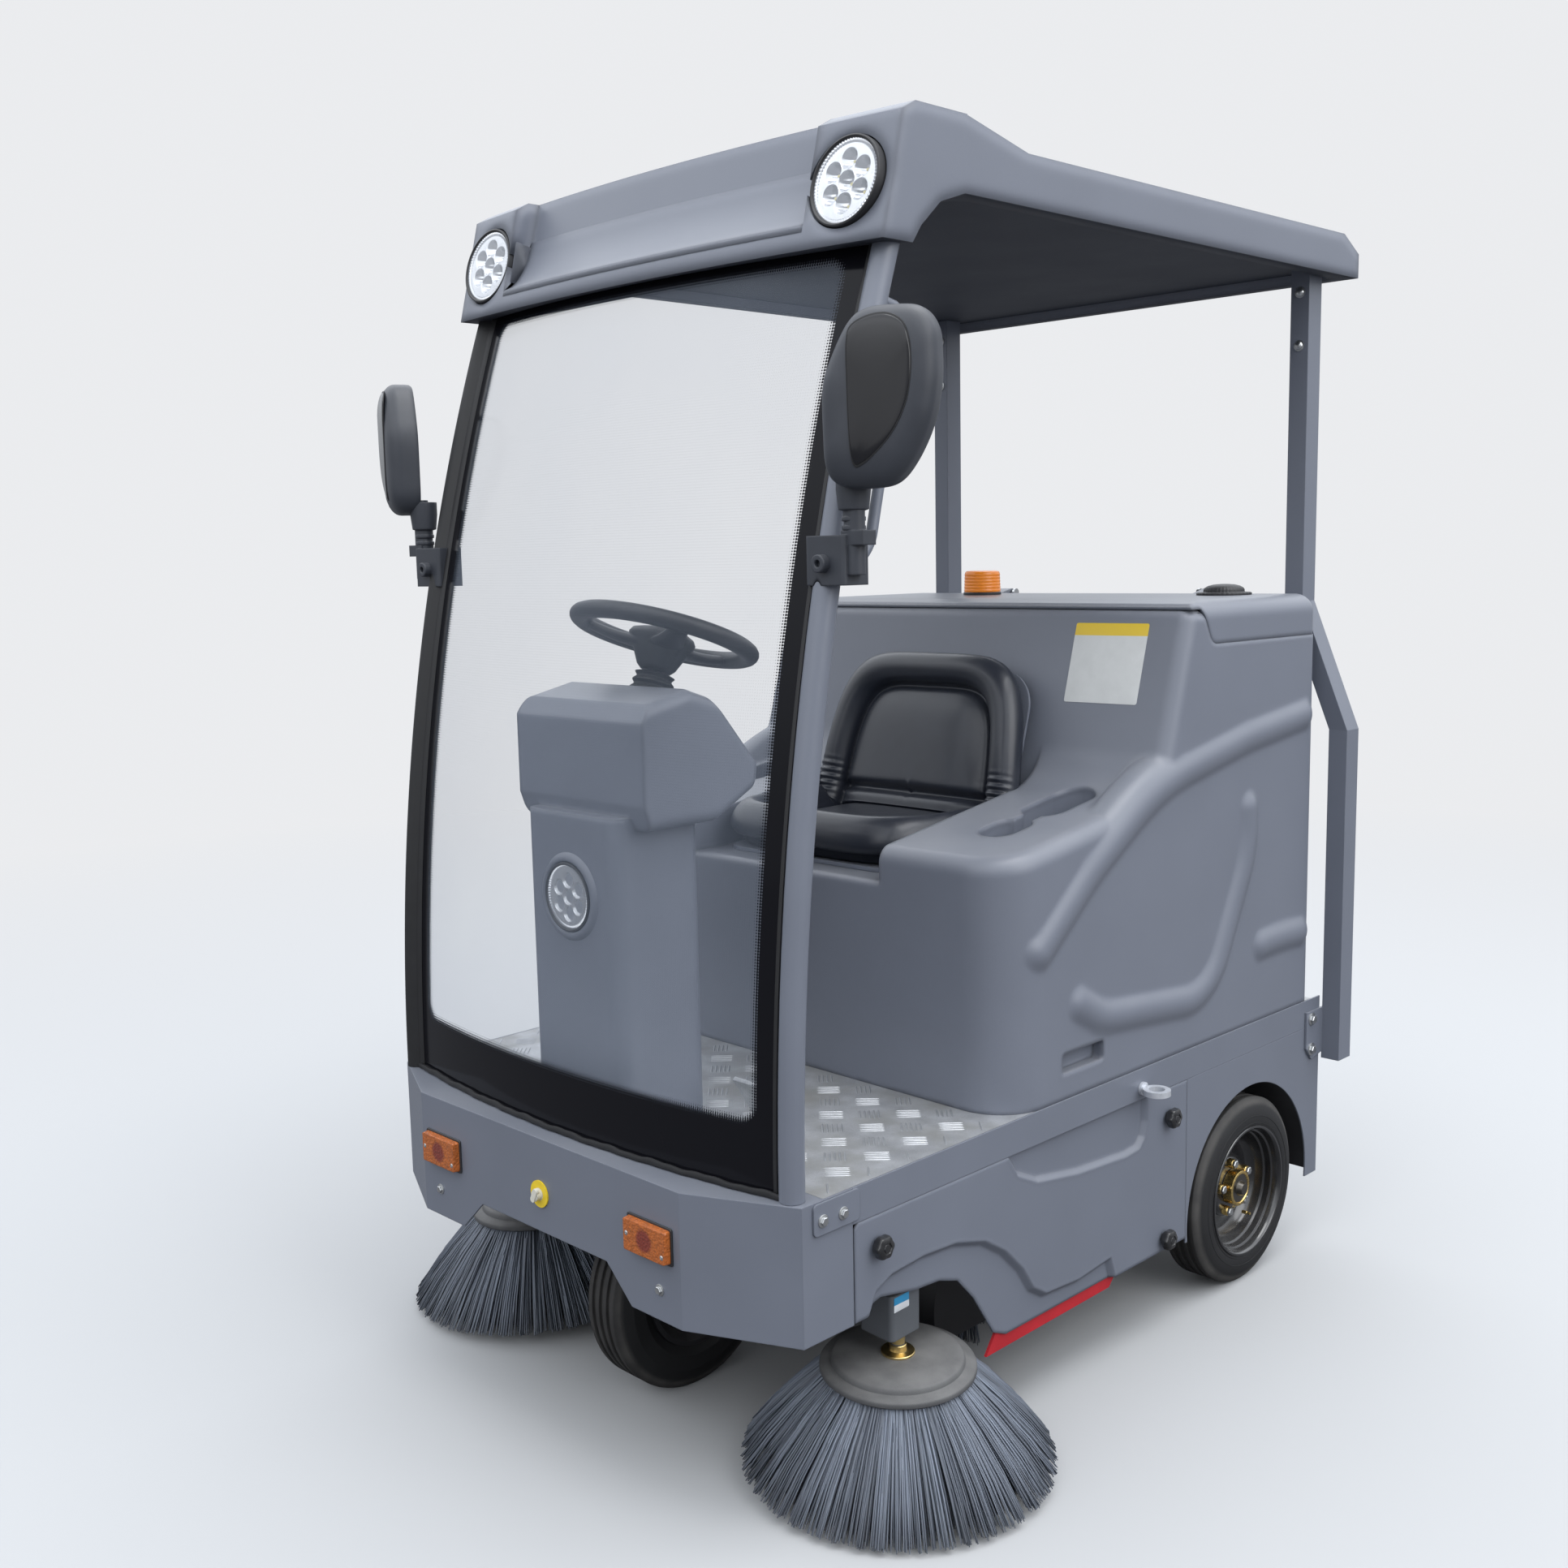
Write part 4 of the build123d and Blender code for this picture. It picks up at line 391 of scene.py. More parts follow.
def line_zone(axis, centre, radius, edge=0.0006, both_sides=False):
    """A mask maker: 1 within radius of the line along axis through centre, else 0.

    both_sides gives the vehicle's right half the same zone.
    """
    def make(tree, place):
        if both_sides:
            x, y, z = (coordinate(tree, place, name) for name in "XYZ")
            mirrored = {"X": maths(tree, "ABSOLUTE", x), "Y": y, "Z": z}
            place = node(tree, "CombineXYZ", mirrored).outputs[0]
        distance = off_line(tree, place, axis, centre)
        return spread(tree, distance, radius - edge, radius + edge, 1.0, 0.0)

    return make


def pebbles(tree, place):
    """Rounded cells of some four millimetres."""
    return node(tree, "TexVoronoi", {"Vector": place, "Scale": 260.0}).outputs["Distance"]


amber_lens = finish(
    "amber_lens", (0.40, 0.105, 0.018), 0.3, drift=0.35, scale=120.0, depth=0.0012, coat=0.25,
    soften=0.002, zone=line_zone((0, 1, 0), (marker_x, 0, marker_z), 0.017, 0.003, True),
    zone_look=((0.19, 0.030, 0.015), 0.3, 0.0), pattern=pebbles,
)
dress(amber_lens, "marker_lamps")
moulded_black = finish(
    "moulded_black", (0.020, 0.020, 0.022), 0.48, drift=0.15, grain=1200.0, depth=0.0001,
    soften=0.0015, dust=0.12,
)


def rounded_plate(across, along, half_width, half_height, corner, place, thick):
    """A flat plate with round corners as a grid: rim below, rim above, both closed to the middle.

    across and along are its directions, and it stands thick above place.
    """
    out = np.cross(across, along)
    turn = np.arange(4)[:, None] * pi / 2 + np.linspace(0, pi / 2, 6)
    side_u, side_v = np.array(((1, -1, -1, 1), (1, 1, -1, -1)))[:, :, None]
    u = side_u * (half_width - corner) + corner * np.cos(turn)
    v = side_v * (half_height - corner) + corner * np.sin(turn)
    flat = u.reshape(-1, 1) * across + v.reshape(-1, 1) * along
    levels = ((0.0, 0.0), (1.0, 0.0), (1.0, 0.75), (0.985, 1.0), (0.0, 1.0))
    return np.asarray(place) + np.array([share * flat + out * thick * height for share, height in levels])


screw_dome = [(0, 0), (4.2, 0), (4.0, 1.2), (2.6, 2.2), (1.0, 2.4), (0, 1.4)]
marker_bases, marker_screws = [], []
for side in (1, -1):
    centre = np.array((side * marker_x, aft(-0.2), marker_z))
    marker_bases.append(rounded_plate((1, 0, 0), (0, 0, 1), 0.051, 0.029, 0.004, centre, 0.0028))
    for off, drop in ((-0.040, 0.002), (0.040, -0.014)):
        spot = centre + np.array((off, -0.0125, drop))
        marker_screws.append(lathe(screw_dome, spot, (0, -1, 0), 12))
fitted("marker_bases", marker_bases, moulded_black, "chassis", "black_plastic")
fitted("marker_screws", marker_screws, bright_zinc, "chassis", "zinc_steel")

# Key switch: a round plastic dial let into the fascia, bare and yellow, with an ivory plastic
# lever that stands out from it and leans to one side.
key_z = 0.418
key_dial = finish(
    "key_dial", (0.78, 0.56, 0.02), 0.38, drift=0.06, scale=80.0, coat=0.2,
    zone=line_zone((0, 1, 0), (0, 0, key_z), 0.0102), zone_look=((0.62, 0.60, 0.52), 0.35, 0.0),
)
dress(key_dial, "key_switch")
ivory = finish("ivory", (0.62, 0.60, 0.52), 0.35, drift=0.06, scale=120.0, soften=0.001)
lever_turn = radians(25)
lever_way = np.array((sin(lever_turn), 0, cos(lever_turn)))
lever_across = np.cross(lever_way, (0, -1, 0))
lever = rounded_plate(lever_across, lever_way, 0.0052, 0.0125, 0.0045, (0, aft(-8.0), key_z), 0.006)
fitted("key_lever", [lever], ivory, "chassis", "key_switch")

# Deck: one sheet of aluminium tread plate, rolled with groups of five raised bars that lie
# across each other in turn, dulled by shoes between the bars.
deck_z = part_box("floor_plate")[1].z


def scuffs(tree, place):
    """1 on broad worn patches, 0 between them."""
    return spread(tree, noise(tree, place, 11.0, 6.0), 0.42, 0.66)


tread_plate = finish(
    "tread_plate", (0.46, 0.47, 0.485), 0.42, drift=0.22, scale=26.0, grain=420.0, depth=0.00012,
    metal=0.6, zone=scuffs, zone_look=((0.33, 0.33, 0.32), 0.55, 0.6),
)
bar_metal = finish(
    "bar_metal", (0.44, 0.45, 0.465), 0.46, drift=0.15, scale=60.0, grain=700.0, depth=0.00005, metal=0.8,
)
dress(tread_plate, "floor_plate")
bar_half, bar_width, bar_height, bar_pitch = 0.0215, 0.0019, 0.0017, 0.0076
cell_x, cell_y = 0.090, 0.088
bars_start, plate_front, plate_half = 0.125, 0.130, 0.505
column_half, column_back = 0.124, 0.268
shell_front, shell_corner, shell_clear = 0.549, 0.09, 0.004
arm_start = 0.418
bar_places = []
for lift, slant in ((0.0, 1), (0.5, -1)):
    columns, rows = np.meshgrid((np.arange(-7, 8) + lift) * cell_x, (np.arange(-1, 8) + lift) * cell_y)
    middle = np.stack([columns.ravel(), rows.ravel()], axis=1)
    way = np.array((1.0, slant)) / sqrt(2)
    beside = np.array((-way[1], way[0]))
    for number in range(-2, 3):
        spot = middle + number * bar_pitch * beside
        bar_places.append(np.hstack([spot, np.tile(way, (len(spot), 1))]))
bars = np.concatenate(bar_places)
bars[:, 1] += bars_start
bar_x, bar_y, bar_reach = np.abs(bars[:, 0]), bars[:, 1], bar_half * 0.75
corner_in = np.clip(bar_x - arm_start, 0, shell_corner - 0.0001)
shell_edge = shell_front + shell_corner - np.sqrt(shell_corner**2 - corner_in**2) - shell_clear
clear = (bar_x + bar_reach < plate_half) & (bar_y - bar_reach > plate_front)
clear &= bar_y + bar_reach < shell_edge
clear &= ~((bar_x - bar_half < column_half) & (bar_y - bar_reach < column_back))
bars = bars[clear]
along = np.linspace(-1, 1, 9)
over = np.linspace(0, pi, 5)
taper = np.sqrt(np.clip(1 - np.abs(along) ** 3, 0, None))[:, None]
along_x = bars[:, None, None, 2:4] * (along * bar_half)[None, :, None, None]
sideways = np.stack([-bars[:, 3], bars[:, 2]], axis=1)[:, None, None, :]
across_x = sideways * (taper * np.cos(over)[None] * bar_width)[None, :, :, None]
flat = bars[:, None, None, 0:2] + along_x + across_x
rise = (taper * np.sin(over)[None] * bar_height)[None, :, :, None]
rise = np.broadcast_to(rise, flat.shape[:3] + (1,)) + deck_z - 0.0001
bar_points = np.concatenate([flat, rise], axis=-1)
bar_points[..., 1] += fascia_y
bar_quads = quads(np.arange(along.size * over.size).reshape(along.size, over.size))
bar_faces = np.arange(len(bars))[:, None, None] * along.size * over.size + bar_quads[None]
tread_bars = face_piece("tread_bars", bar_points.reshape(-1, 3), bar_faces.reshape(-1, 4), bar_metal)
carried(tread_bars, "chassis", "tread_plate")

# Side doors: moulded covers that step inwards over the brushes and below the deck, each held
# by three black lobed hand knobs.
door_skin = finish(
    "door_skin", body_grey, 0.45, drift=0.05, grain=1100.0, depth=0.00008, soften=0.009, dust=0.25,
)
dress(door_skin, "side_door_left", "side_door_right")
knob_gloss = finish(
    "knob_gloss", (0.012, 0.012, 0.013), 0.22, drift=0.2, scale=90.0, coat=0.5, soften=0.001,
)
knob_profile = [
    (0, 0), (11, 0), (11, 4), (16.5, 5), (18.5, 8), (18.5, 15), (17, 18.5), (13, 20.5), (9, 21),
    (8.2, 19.4), (7, 19.2), (6, 20.4), (0, 20.8),
]
knob_face = 0.5103


def six_lobes(angle):
    """Six shallow lobes round the grip."""
    return 1 + 0.055 * np.cos(6 * angle) - 0.03


knobs = []
for side in (1, -1):
    for behind, height in ((235, 0.407), (1015, 0.400), (1004, 0.174)):
        spot = (side * knob_face, aft(behind), height)
        knobs.append(lathe(knob_profile, spot, (side, 0, 0), 48, six_lobes))
fitted("lobed_knobs", knobs, knob_gloss, "chassis", "knob_plastic", "door_knobs")

# Skirts: strips of dull red rubber sheet that hang under the doors and keep the dust in,
# a little uneven in colour.
skirt_red = finish(
    "skirt_red", (0.42, 0.010, 0.018), 0.62, drift=0.16, scale=18.0, grain=400.0, depth=0.0001, dust=0.03,
)
dress(skirt_red, "side_skirts")

# Lashing eyes: forged steel eye bolts, galvanised, screwed into the side plates for tying the
# machine down.
galvanised = finish(
    "galvanised", (0.62, 0.64, 0.68), 0.36, drift=0.12, scale=70.0, grain=600.0, depth=0.00005, metal=0.55,
)
dress(galvanised, "eye_bolts")

# Front posts: bent steel tube, powder-coated, with a tube handle welded behind the left one
# to pull oneself in by.
dress(powder_coat, "front_posts")
post_x, post_front, lean_radius = 0.480, 90.0, 4100.0
glass_foot = 510.3


def lean_back(height):
    """How far the posts have curved back at a height in millimetres: r - sqrt(r^2 - h^2)."""
    return lean_radius - np.sqrt(lean_radius**2 - (np.asarray(height, float) - glass_foot) ** 2)


def tube(path, radius, side, sides=16):
    """A round tube along path as a grid, closed at both ends; side is square to the whole path."""
    path, side = np.asarray(path, float), np.asarray(side, float)
    way = np.gradient(path, axis=0)
    way /= np.linalg.norm(way, axis=1, keepdims=True)
    other = np.cross(way, side)
    angle = np.arange(sides) * 2 * pi / sides
    ring = np.cos(angle)[None, :, None] * side + np.sin(angle)[None, :, None] * other[:, None]
    walls = path[:, None] + radius * ring
    ends = np.repeat(path[[0, -1]][:, None], sides, axis=1)
    return np.concatenate([ends[:1], walls, ends[1:]])


def placed(x, y, z):
    """Points from three arrays of coordinates, of any shapes that fit together."""
    return np.stack(np.broadcast_arrays(x, y, z), axis=-1)


handle_low, handle_high, handle_foot, handle_out, handle_bend = 1392.0, 1768.0, 12.0, 78.0, 55.0
handle_z = handle_low + (handle_high - handle_low) * np.linspace(0, 1, 60)
edge_in = np.minimum(handle_z - handle_low, handle_high - handle_z)
bow = np.sqrt(np.clip(1 - (1 - np.clip(edge_in / handle_bend, 0, 1)) ** 2, 0, 1))
handle_y = aft(post_front + lean_back(handle_z) + handle_foot + (handle_out - handle_foot) * bow)
handle = tube(placed(post_x, handle_y, handle_z / 1000), 0.0085, (1, 0, 0))
fitted("entry_handle", [handle], powder_coat, "chassis", "body_paint")

# Windshield: one curved pane of laminated glass with a black printed border that fades in
# dots, and a rounded window. It is glued into black rubber strips on the posts and the ledge.
pane_half, window_half = 0.457, 0.428
window_low, window_high, window_round = 0.607, 1.838, 0.036
dot_pitch, dot_reach = 0.0042, 0.016


def printed_border(tree, place):
    """1 on the printed border and its dots, 0 on clear glass.

    inside is the distance into the rounded window, and a dot's radius falls as it grows.
    """
    x, z = coordinate(tree, place, "X"), coordinate(tree, place, "Z")
    middle, half_high = (window_low + window_high) / 2, (window_high - window_low) / 2
    side_in = maths(tree, "SUBTRACT", maths(tree, "ABSOLUTE", x), window_half - window_round)
    level_in = maths(tree, "ABSOLUTE", maths(tree, "SUBTRACT", z, middle))
    level_in = maths(tree, "SUBTRACT", level_in, half_high - window_round)
    beyond = {"X": maths(tree, "MAXIMUM", side_in, 0.0), "Y": maths(tree, "MAXIMUM", level_in, 0.0)}
    corner = length_of(tree, node(tree, "CombineXYZ", beyond).outputs[0])
    within = maths(tree, "MINIMUM", maths(tree, "MAXIMUM", side_in, level_in), 0.0)
    inside = maths(tree, "SUBTRACT", window_round, maths(tree, "ADD", corner, within))
    dots = []
    for level in (x, z):
        step = maths(tree, "FRACT", maths(tree, "DIVIDE", level, dot_pitch))
        off = maths(tree, "SUBTRACT", step, 0.5)
        dots.append(maths(tree, "MULTIPLY", off, off))
    from_dot = maths(tree, "SQRT", maths(tree, "ADD", *dots))
    dot_size = spread(tree, inside, 0.0, dot_reach, 0.62, 0.05)
    printed = maths(tree, "LESS_THAN", inside, 0.0)
    return maths(tree, "MAXIMUM", printed, maths(tree, "LESS_THAN", from_dot, dot_size))


def painted_sheen_by_angle(tree, blend, straight, slanting):
    """How much painted reflection a clear sheet shows: straight when looked through square, slanting at its
    edge.
    """
    facing = node(tree, "LayerWeight", {"Blend": blend}).outputs["Facing"]
    return spread(tree, facing, 0.0, 1.0, straight, slanting)


glass, tree, output = tree_of("windshield_glass")
place = node(tree, "TexCoord").outputs["Object"]
border = printed_border(tree, place)
# The clear glass gets a blue-grey tone and more cover at a slant: a painted reflection of the sky, drifting
# with a noise.
painted_reflection_drift = spread(tree, noise(tree, place, 2.4, 3.0), 0.3, 0.7)
painted_sky_reflection = lay_over(tree, painted_reflection_drift, (0.20, 0.24, 0.30), (0.30, 0.34, 0.41))
painted_reflection_cover = maths(tree, "ADD", painted_sheen_by_angle(tree, 0.35, 0.03, 0.28), maths(tree, "MULTIPLY", painted_reflection_drift, 0.05))
principled(tree, output, {
    "Base Color": lay_over(tree, border, painted_sky_reflection, (0.006, 0.006, 0.008)),
    "Alpha": maths(tree, "MAXIMUM", painted_reflection_cover, border),
    "Roughness": spread(tree, border, 0.0, 1.0, 0.04, 0.12), "Specular IOR Level": 0.15,
})
dress(glass, "windshield")


def bulging(front, radius, reach, x):
    """Y of a face that bulges forward: front + radius - sqrt(reach^2 - x^2), with x in metres."""
    return aft(front + radius - np.sqrt(reach**2 - (x * 1000) ** 2))


def capped(rows):
    """A grid with each end drawn together at its middle, which closes it."""
    ends = np.repeat(rows[[0, -1]].mean(axis=1, keepdims=True), rows.shape[1], axis=1)
    return np.concatenate([ends[:1], rows, ends[1:]])


rubber = finish(
    "glazing_rubber", (0.009, 0.009, 0.010), 0.55, drift=0.25, scale=40.0, grain=800.0, depth=0.00012,
)
wide_strip = np.array([
    (-8, 1), (-8.5, -2), (-6, -4.2), (-1, -5), (4, -5), (8, -8), (13, -12), (20, -15.5), (27, -15),
    (31, -11), (32, -5), (28, -2), (14, 0), (4, 4),
]) / 1000
thin_strip = np.array([
    (-3, 1), (-3.2, -1), (-2, -1.6), (0, -1.8), (2, -1.8), (4, -1.2), (4.6, 0.5), (4.6, 3), (4.6, 5.5),
    (4, 7), (2.5, 7.6), (1, 7.6), (0, 7), (-1.5, 4),
]) / 1000
pane_front, pane_radius = 38.0, 2500.0
strip_z = np.linspace(510.5, 1858.0, 60)[:, None]
edge_radius = pane_radius - lean_back(strip_z)
strip_y = bulging(pane_front, pane_radius, edge_radius, pane_half)
strips = []
for side, profile in ((1, thin_strip), (-1, wide_strip)):
    strip = placed(side * (pane_half + profile[:, 0]), strip_y + profile[:, 1], strip_z / 1000)
    strips.append(capped(strip))
sill_x = np.linspace(-0.470, 0.470, 120)[:, None]
sill_y = bulging(pane_front, pane_radius, pane_radius, sill_x)
sill_wave = 0.0009 * np.sin(sill_x * 61) + 0.0006 * np.sin(sill_x * 143 + 1)
sill_profile = np.array([
    (3, 0.5), (-5, 0.5), (-7, 2), (-7.5, 6), (-6, 9.5), (-4, 10), (-2.5, 8), (3, 8),
]) / 1000
sill_rise = sill_profile[:, 1] + sill_wave * (sill_profile[:, 1] > 0.005)
sill = placed(sill_x, sill_y + sill_profile[:, 0] + sill_wave * 0.8, glass_foot / 1000 + sill_rise)
fitted("glazing_strips", strips + [capped(sill)], rubber, "chassis", "black_plastic")

# Rear posts: bent box tube, powder-coated, held to the roof by dome-headed bolts and to the
# side plates by hexagon bolts.
dress(powder_coat, "rear_posts")
dome = [(0, 0), (10.5, 0), (10.5, 1.2), (8, 1.6), (7.2, 3.6), (4.5, 5.4), (0, 6)]
dome_x, foot_face = 0.450, 0.5148
post_bolts = []
for side in (1, -1):
    for height in (1.897, 1.797):
        post_bolts.append(lathe(dome, (side * dome_x, aft(1542), height), (0, -1, 0), 20))
    for height in (0.470, 0.408):
        post_bolts += hex_bolt((side * foot_face, aft(1532), height), (side, 0, 0), 0.009)
fitted("post_bolts", post_bolts, bright_zinc, "chassis", "zinc_steel")

# Roof: one rotomoulded plastic skin with soft edges and pods for the lamps; the faces that look
# at the ground are painted dark slate, as painted shade under the roof.


def painted_underside_shade(tree, place):
    """1 on faces that look at the ground, where the roof gets painted shade, else 0."""
    return spread(tree, upward_look(tree), -0.6, -0.85)


moulded = dict(colour=(0.156, 0.170, 0.207), drift=0.045, grain=700.0, depth=0.00012, dust=0.30)
# The dark slate zone_look on faces that look down is painted shade, not a second plastic.
roof_skin = finish(
    "roof_skin", rough=0.4, soften=0.03, zone=painted_underside_shade,
    zone_look=((0.026, 0.032, 0.046), 0.6, 0.0), **moulded,
)
dress(roof_skin, "roof")
brow_front, brow_foot, brow_radius, brow_half = 238.0, 1.845, 3900.0, 0.3655
bend = np.linspace(0, 1, 18)[1:, None]
brow_start, brow_pull = np.array((18.0, 40.5)), np.array((40.0, 52.0))
brow_push, brow_end = np.array((59.5, 79.0)), np.array((72.6, 124.0))
brow_curve = (1 - bend) ** 3 * brow_start + 3 * (1 - bend) ** 2 * bend * brow_pull
brow_curve = brow_curve + 3 * (1 - bend) * bend**2 * brow_push + bend**3 * brow_end
brow_round = [(6.2, 27), (7.4, 31.5), (8.6, 34.6), (10.6, 37.2), (14, 39.2), (18, 40.5)]
brow_line = np.vstack([brow_round, brow_curve, [(84, 123), (62, 50), (14, 30)]])
brow_x = np.linspace(-brow_half, brow_half, 60)[:, None]
brow_y = bulging(brow_front, brow_radius, brow_radius - brow_line[:, 0], brow_x)
brow = capped(placed(brow_x, brow_y, brow_foot + brow_line[:, 1] / 1000))
fitted("brow_sweep", [brow], roof_skin, "chassis", "body_paint", sharp=50)

# Work lamps: seven bright dished reflectors behind a clear domed cover with a ribbed edge, in
# a thin black ring; two in the roof pods and one in the console.
cup_ring, cup_radius, cup_depth = 0.0272, 0.0132, 0.011
chrome = finish("lamp_chrome", (0.68, 0.69, 0.71), 0.12, drift=0.06, scale=200.0, metal=1.0, depth=0.00003)
# The clear cover is painted pale and grows more opaque at a slant, as a painted reflection.
cover_clear, tree, output = tree_of("lamp_cover")
cover_sheen_drift = noise(tree, node(tree, "TexCoord").outputs["Object"], 150.0, 2.0)
principled(tree, output, {
    "Base Color": lay_over(tree, cover_sheen_drift, (0.70, 0.74, 0.80), (0.86, 0.89, 0.93)), "Roughness": 0.05,
    "Alpha": painted_sheen_by_angle(tree, 0.4, 0.08, 0.5),
})
led_yellow = finish("lamp_chip", (0.75, 0.66, 0.30), 0.3, drift=0.1, scale=300.0)
bowl_turns = np.arange(6) * pi / 3 + pi / 6


def reflector(origin, axis, size):
    """The bright plate as a polar grid, pressed in by seven fluted bowls.

    At distance d from the nearest bowl's middle the plate lies cup_depth (1 - (d / cup_radius)^2)
    deeper, where that is more than nothing, less a wave of four flutes that lie level.
    """
    first, second = square_to(axis)
    radius = np.linspace(0, 0.0470, 60)[:, None]
    angle = (np.arange(168) * 2 * pi / 168)[None]
    u, v = radius * np.cos(angle), radius * np.sin(angle)
    bowls = cup_ring * np.stack([np.cos(bowl_turns), np.sin(bowl_turns)], axis=1)
    centres = np.vstack([[0, 0], bowls])
    gap = np.min(np.hypot(u[..., None] - centres[:, 0], v[..., None] - centres[:, 1]), axis=-1)
    hollow = np.clip(1 - (gap / cup_radius) ** 2, 0, 1)
    height = 0.003 - hollow * (cup_depth + 0.0008 * np.cos(v * 2 * pi / 0.0075))
    u, v, height = size * u[..., None], size * v[..., None], size * height[..., None]
    return origin + u * first + v * second + height * np.asarray(axis)


roof_lean = radians(12.97)
pod_out = np.array((0.0, -cos(roof_lean), sin(roof_lean)))
pod_x, pod_y, pod_z, pod_lamp_size = 0.433, aft(287.0), 1.9328, 1.18
console_lamp_z = 0.887
lamp_spots = [
    (np.array((pod_x, pod_y, pod_z)), pod_out, pod_lamp_size),
    (np.array((-pod_x, pod_y, pod_z)), pod_out, pod_lamp_size),
    (np.array((0.0, aft(81.0), console_lamp_z)), np.array((0.0, -1.0, 0.0)), 1.0),
]
case = [(0, -22), (54, -22), (54, -2), (46, -8), (0, -12)]
rim = [(50.5, 2), (51, 5), (53.5, 7.4), (55.5, 6.6), (56, 4), (56, -20), (50, -20), (50, -2), (50.5, 2)]
cover = [(50.5, 5.0), (49, 6.4), (44, 7.4), (34, 8.0), (18, 8.3), (0, 8.3)]
chip = [(0, 1.8), (1.6, 1.5), (2.4, 0)]
ribbed = [(46, 2.8), (47.5, 4.4), (49.5, 5.0), (51.5, 4.4)]
cases, rims, plates, covers, ribs, chips = [], [], [], [], [], []
for spot, axis, size in lamp_spots:
    rims.append(lathe(rim, spot, axis, 64, unit=size / 1000))
    cases.append(lathe(case, spot, axis, 48, unit=size / 1000))
    plates.append(reflector(spot, axis, size))
    covers.append(lathe(cover, spot, axis, 64, unit=size / 1000))
    rib_wave = 0.0009 * np.cos(np.arange(144) * pi)[None, :, None] * axis
    ribs.append(lathe(ribbed, spot, axis, 144, unit=size / 1000) + rib_wave)
    first, second = square_to(axis)
    chip_spots = [np.zeros(3)] + [cup_ring * (cos(turn) * first + sin(turn) * second) for turn in bowl_turns]
    for off in chip_spots:
        chips.append(lathe(chip, spot + size * (off - axis * 0.0080), axis, 10, unit=size / 1000))
pod_into, cheek_x, cheek_half_deep = -pod_out, 0.3656, 0.026
cheek_up = np.cross((1, 0, 0), pod_into)
cheeks = []
for side in (1, -1):
    spot = np.array((side * cheek_x, pod_y, pod_z)) + pod_into * cheek_half_deep
    cheeks.append(rounded_plate(pod_into * side, cheek_up, cheek_half_deep, 0.036, 0.003, spot, -0.0012))
fitted("pod_cheeks", cheeks, roof_skin, "chassis", "body_paint")
fitted("lamp_rings", rims + cases, moulded_black, "chassis", "black_plastic")
fitted("lamp_reflectors", plates + ribs, chrome, "chassis", "clear_lens", sharp=60)
fitted("lamp_chips", chips, led_yellow, "chassis", "clear_lens")
fitted("lamp_covers", covers, cover_clear, "chassis", "clear_lens", "work_lamps")

# Console: a rotomoulded column with a wider dash housing on top, which holds one work lamp;
# a raised ring of the same plastic frames it.
moulded_grey = finish("moulded_grey", rough=0.36, soften=0.014, **moulded)
dress(moulded_grey, "console")
frame_ring = [(57, -1), (57, 5), (59, 6.5), (63, 6.5), (68, 4), (72, -1)]
lamp_ring = lathe(frame_ring, (0, aft(82), console_lamp_z), (0, -1, 0), 64)
fitted("console_lamp_ring", [lamp_ring], moulded_grey, "chassis", "moulded_grey")

# Steering: a rubber bellows over the column, and a three-spoke wheel of black moulded foam
# with a padded three-cornered boss in its middle.
hub_place = np.array((0.0, aft(295.0), 1.290))
column_up = np.array((0.0, sin(radians(20)), cos(radians(20))))
fold_low, fold_high, fold_pitch = -150, -68, 13.75
fold_up = np.linspace(0, fold_high - fold_low, 48)
fold_radius = 41 - 10 * fold_up / (fold_high - fold_low) + 2.4 * np.cos(fold_up * 2 * pi / fold_pitch)
bellows = [(0, fold_low), *zip(fold_radius, fold_low + fold_up), (20, -63), (12, -62), (12, -50), (0, -50)]
boot = lathe(bellows, hub_place, column_up, 40)
fitted("steering_bellows", [boot], rubber, "chassis", "black_plastic", "steering_column")
wheel_foam = finish(
    "wheel_foam", (0.017, 0.017, 0.019), 0.45, drift=0.15, grain=1500.0, depth=0.00012, soften=0.004,
    dust=0.1,
)
rim_mid, rim_thick, spoke_drop = 0.1425, 0.0170, -0.018
wheel_across, wheel_ahead = square_to(column_up)
rim_turn = np.linspace(0, 2 * pi, 17)
rim_profile = np.stack([rim_mid + rim_thick * np.cos(rim_turn), 0.0145 * np.sin(rim_turn)], axis=1)
wheel_grids = [lathe(rim_profile, hub_place, column_up, 96, unit=1)]


def three_spokes(angle):
    """A soft triangle: wider towards the three spokes."""
    return 1 + 0.12 * np.cos(3 * (angle - pi / 2))


pad = [(0, -61), (24, -61), (31, -54), (43, -28), (52, -12), (54, -4), (50, 3), (38, 7), (0, 8)]
wheel_grids.append(lathe(pad, hub_place, column_up, 72, three_spokes))
spoke_start, spoke_run = 0.030, np.linspace(0, 1, 14)[:, None]
round_it = np.arange(16) * pi / 8
reach = spoke_start + (rim_mid - spoke_start) * spoke_run
half_wide = 0.030 - 0.014 * np.sin(spoke_run * pi / 2)
half_thick = 0.010 - 0.002 * spoke_run
lift = spoke_drop * (1 - spoke_run**2) + half_thick * np.sin(round_it)
for turn in pi / 2 + np.arange(3) * 2 * pi / 3:
    spoke_out = cos(turn) * wheel_across + sin(turn) * wheel_ahead
    spoke_side = np.cross(column_up, spoke_out)
    spoke = hub_place + reach[..., None] * spoke_out + lift[..., None] * column_up
    wheel_grids.append(capped(spoke + (half_wide * np.cos(round_it))[..., None] * spoke_side))
fitted("padded_wheel", wheel_grids, wheel_foam, "steering_wheel", "black_plastic", "steering_wheel", sharp=60)

# Pedals: a bright steel plate for the accelerator, held by two ring bolts, and a brake with
# a black coat on the other side of the column.


def brake_side(tree, place):
    """1 on the brake pedal, right of the middle, else 0."""
    return maths(tree, "LESS_THAN", coordinate(tree, place, "X"), 0.0)


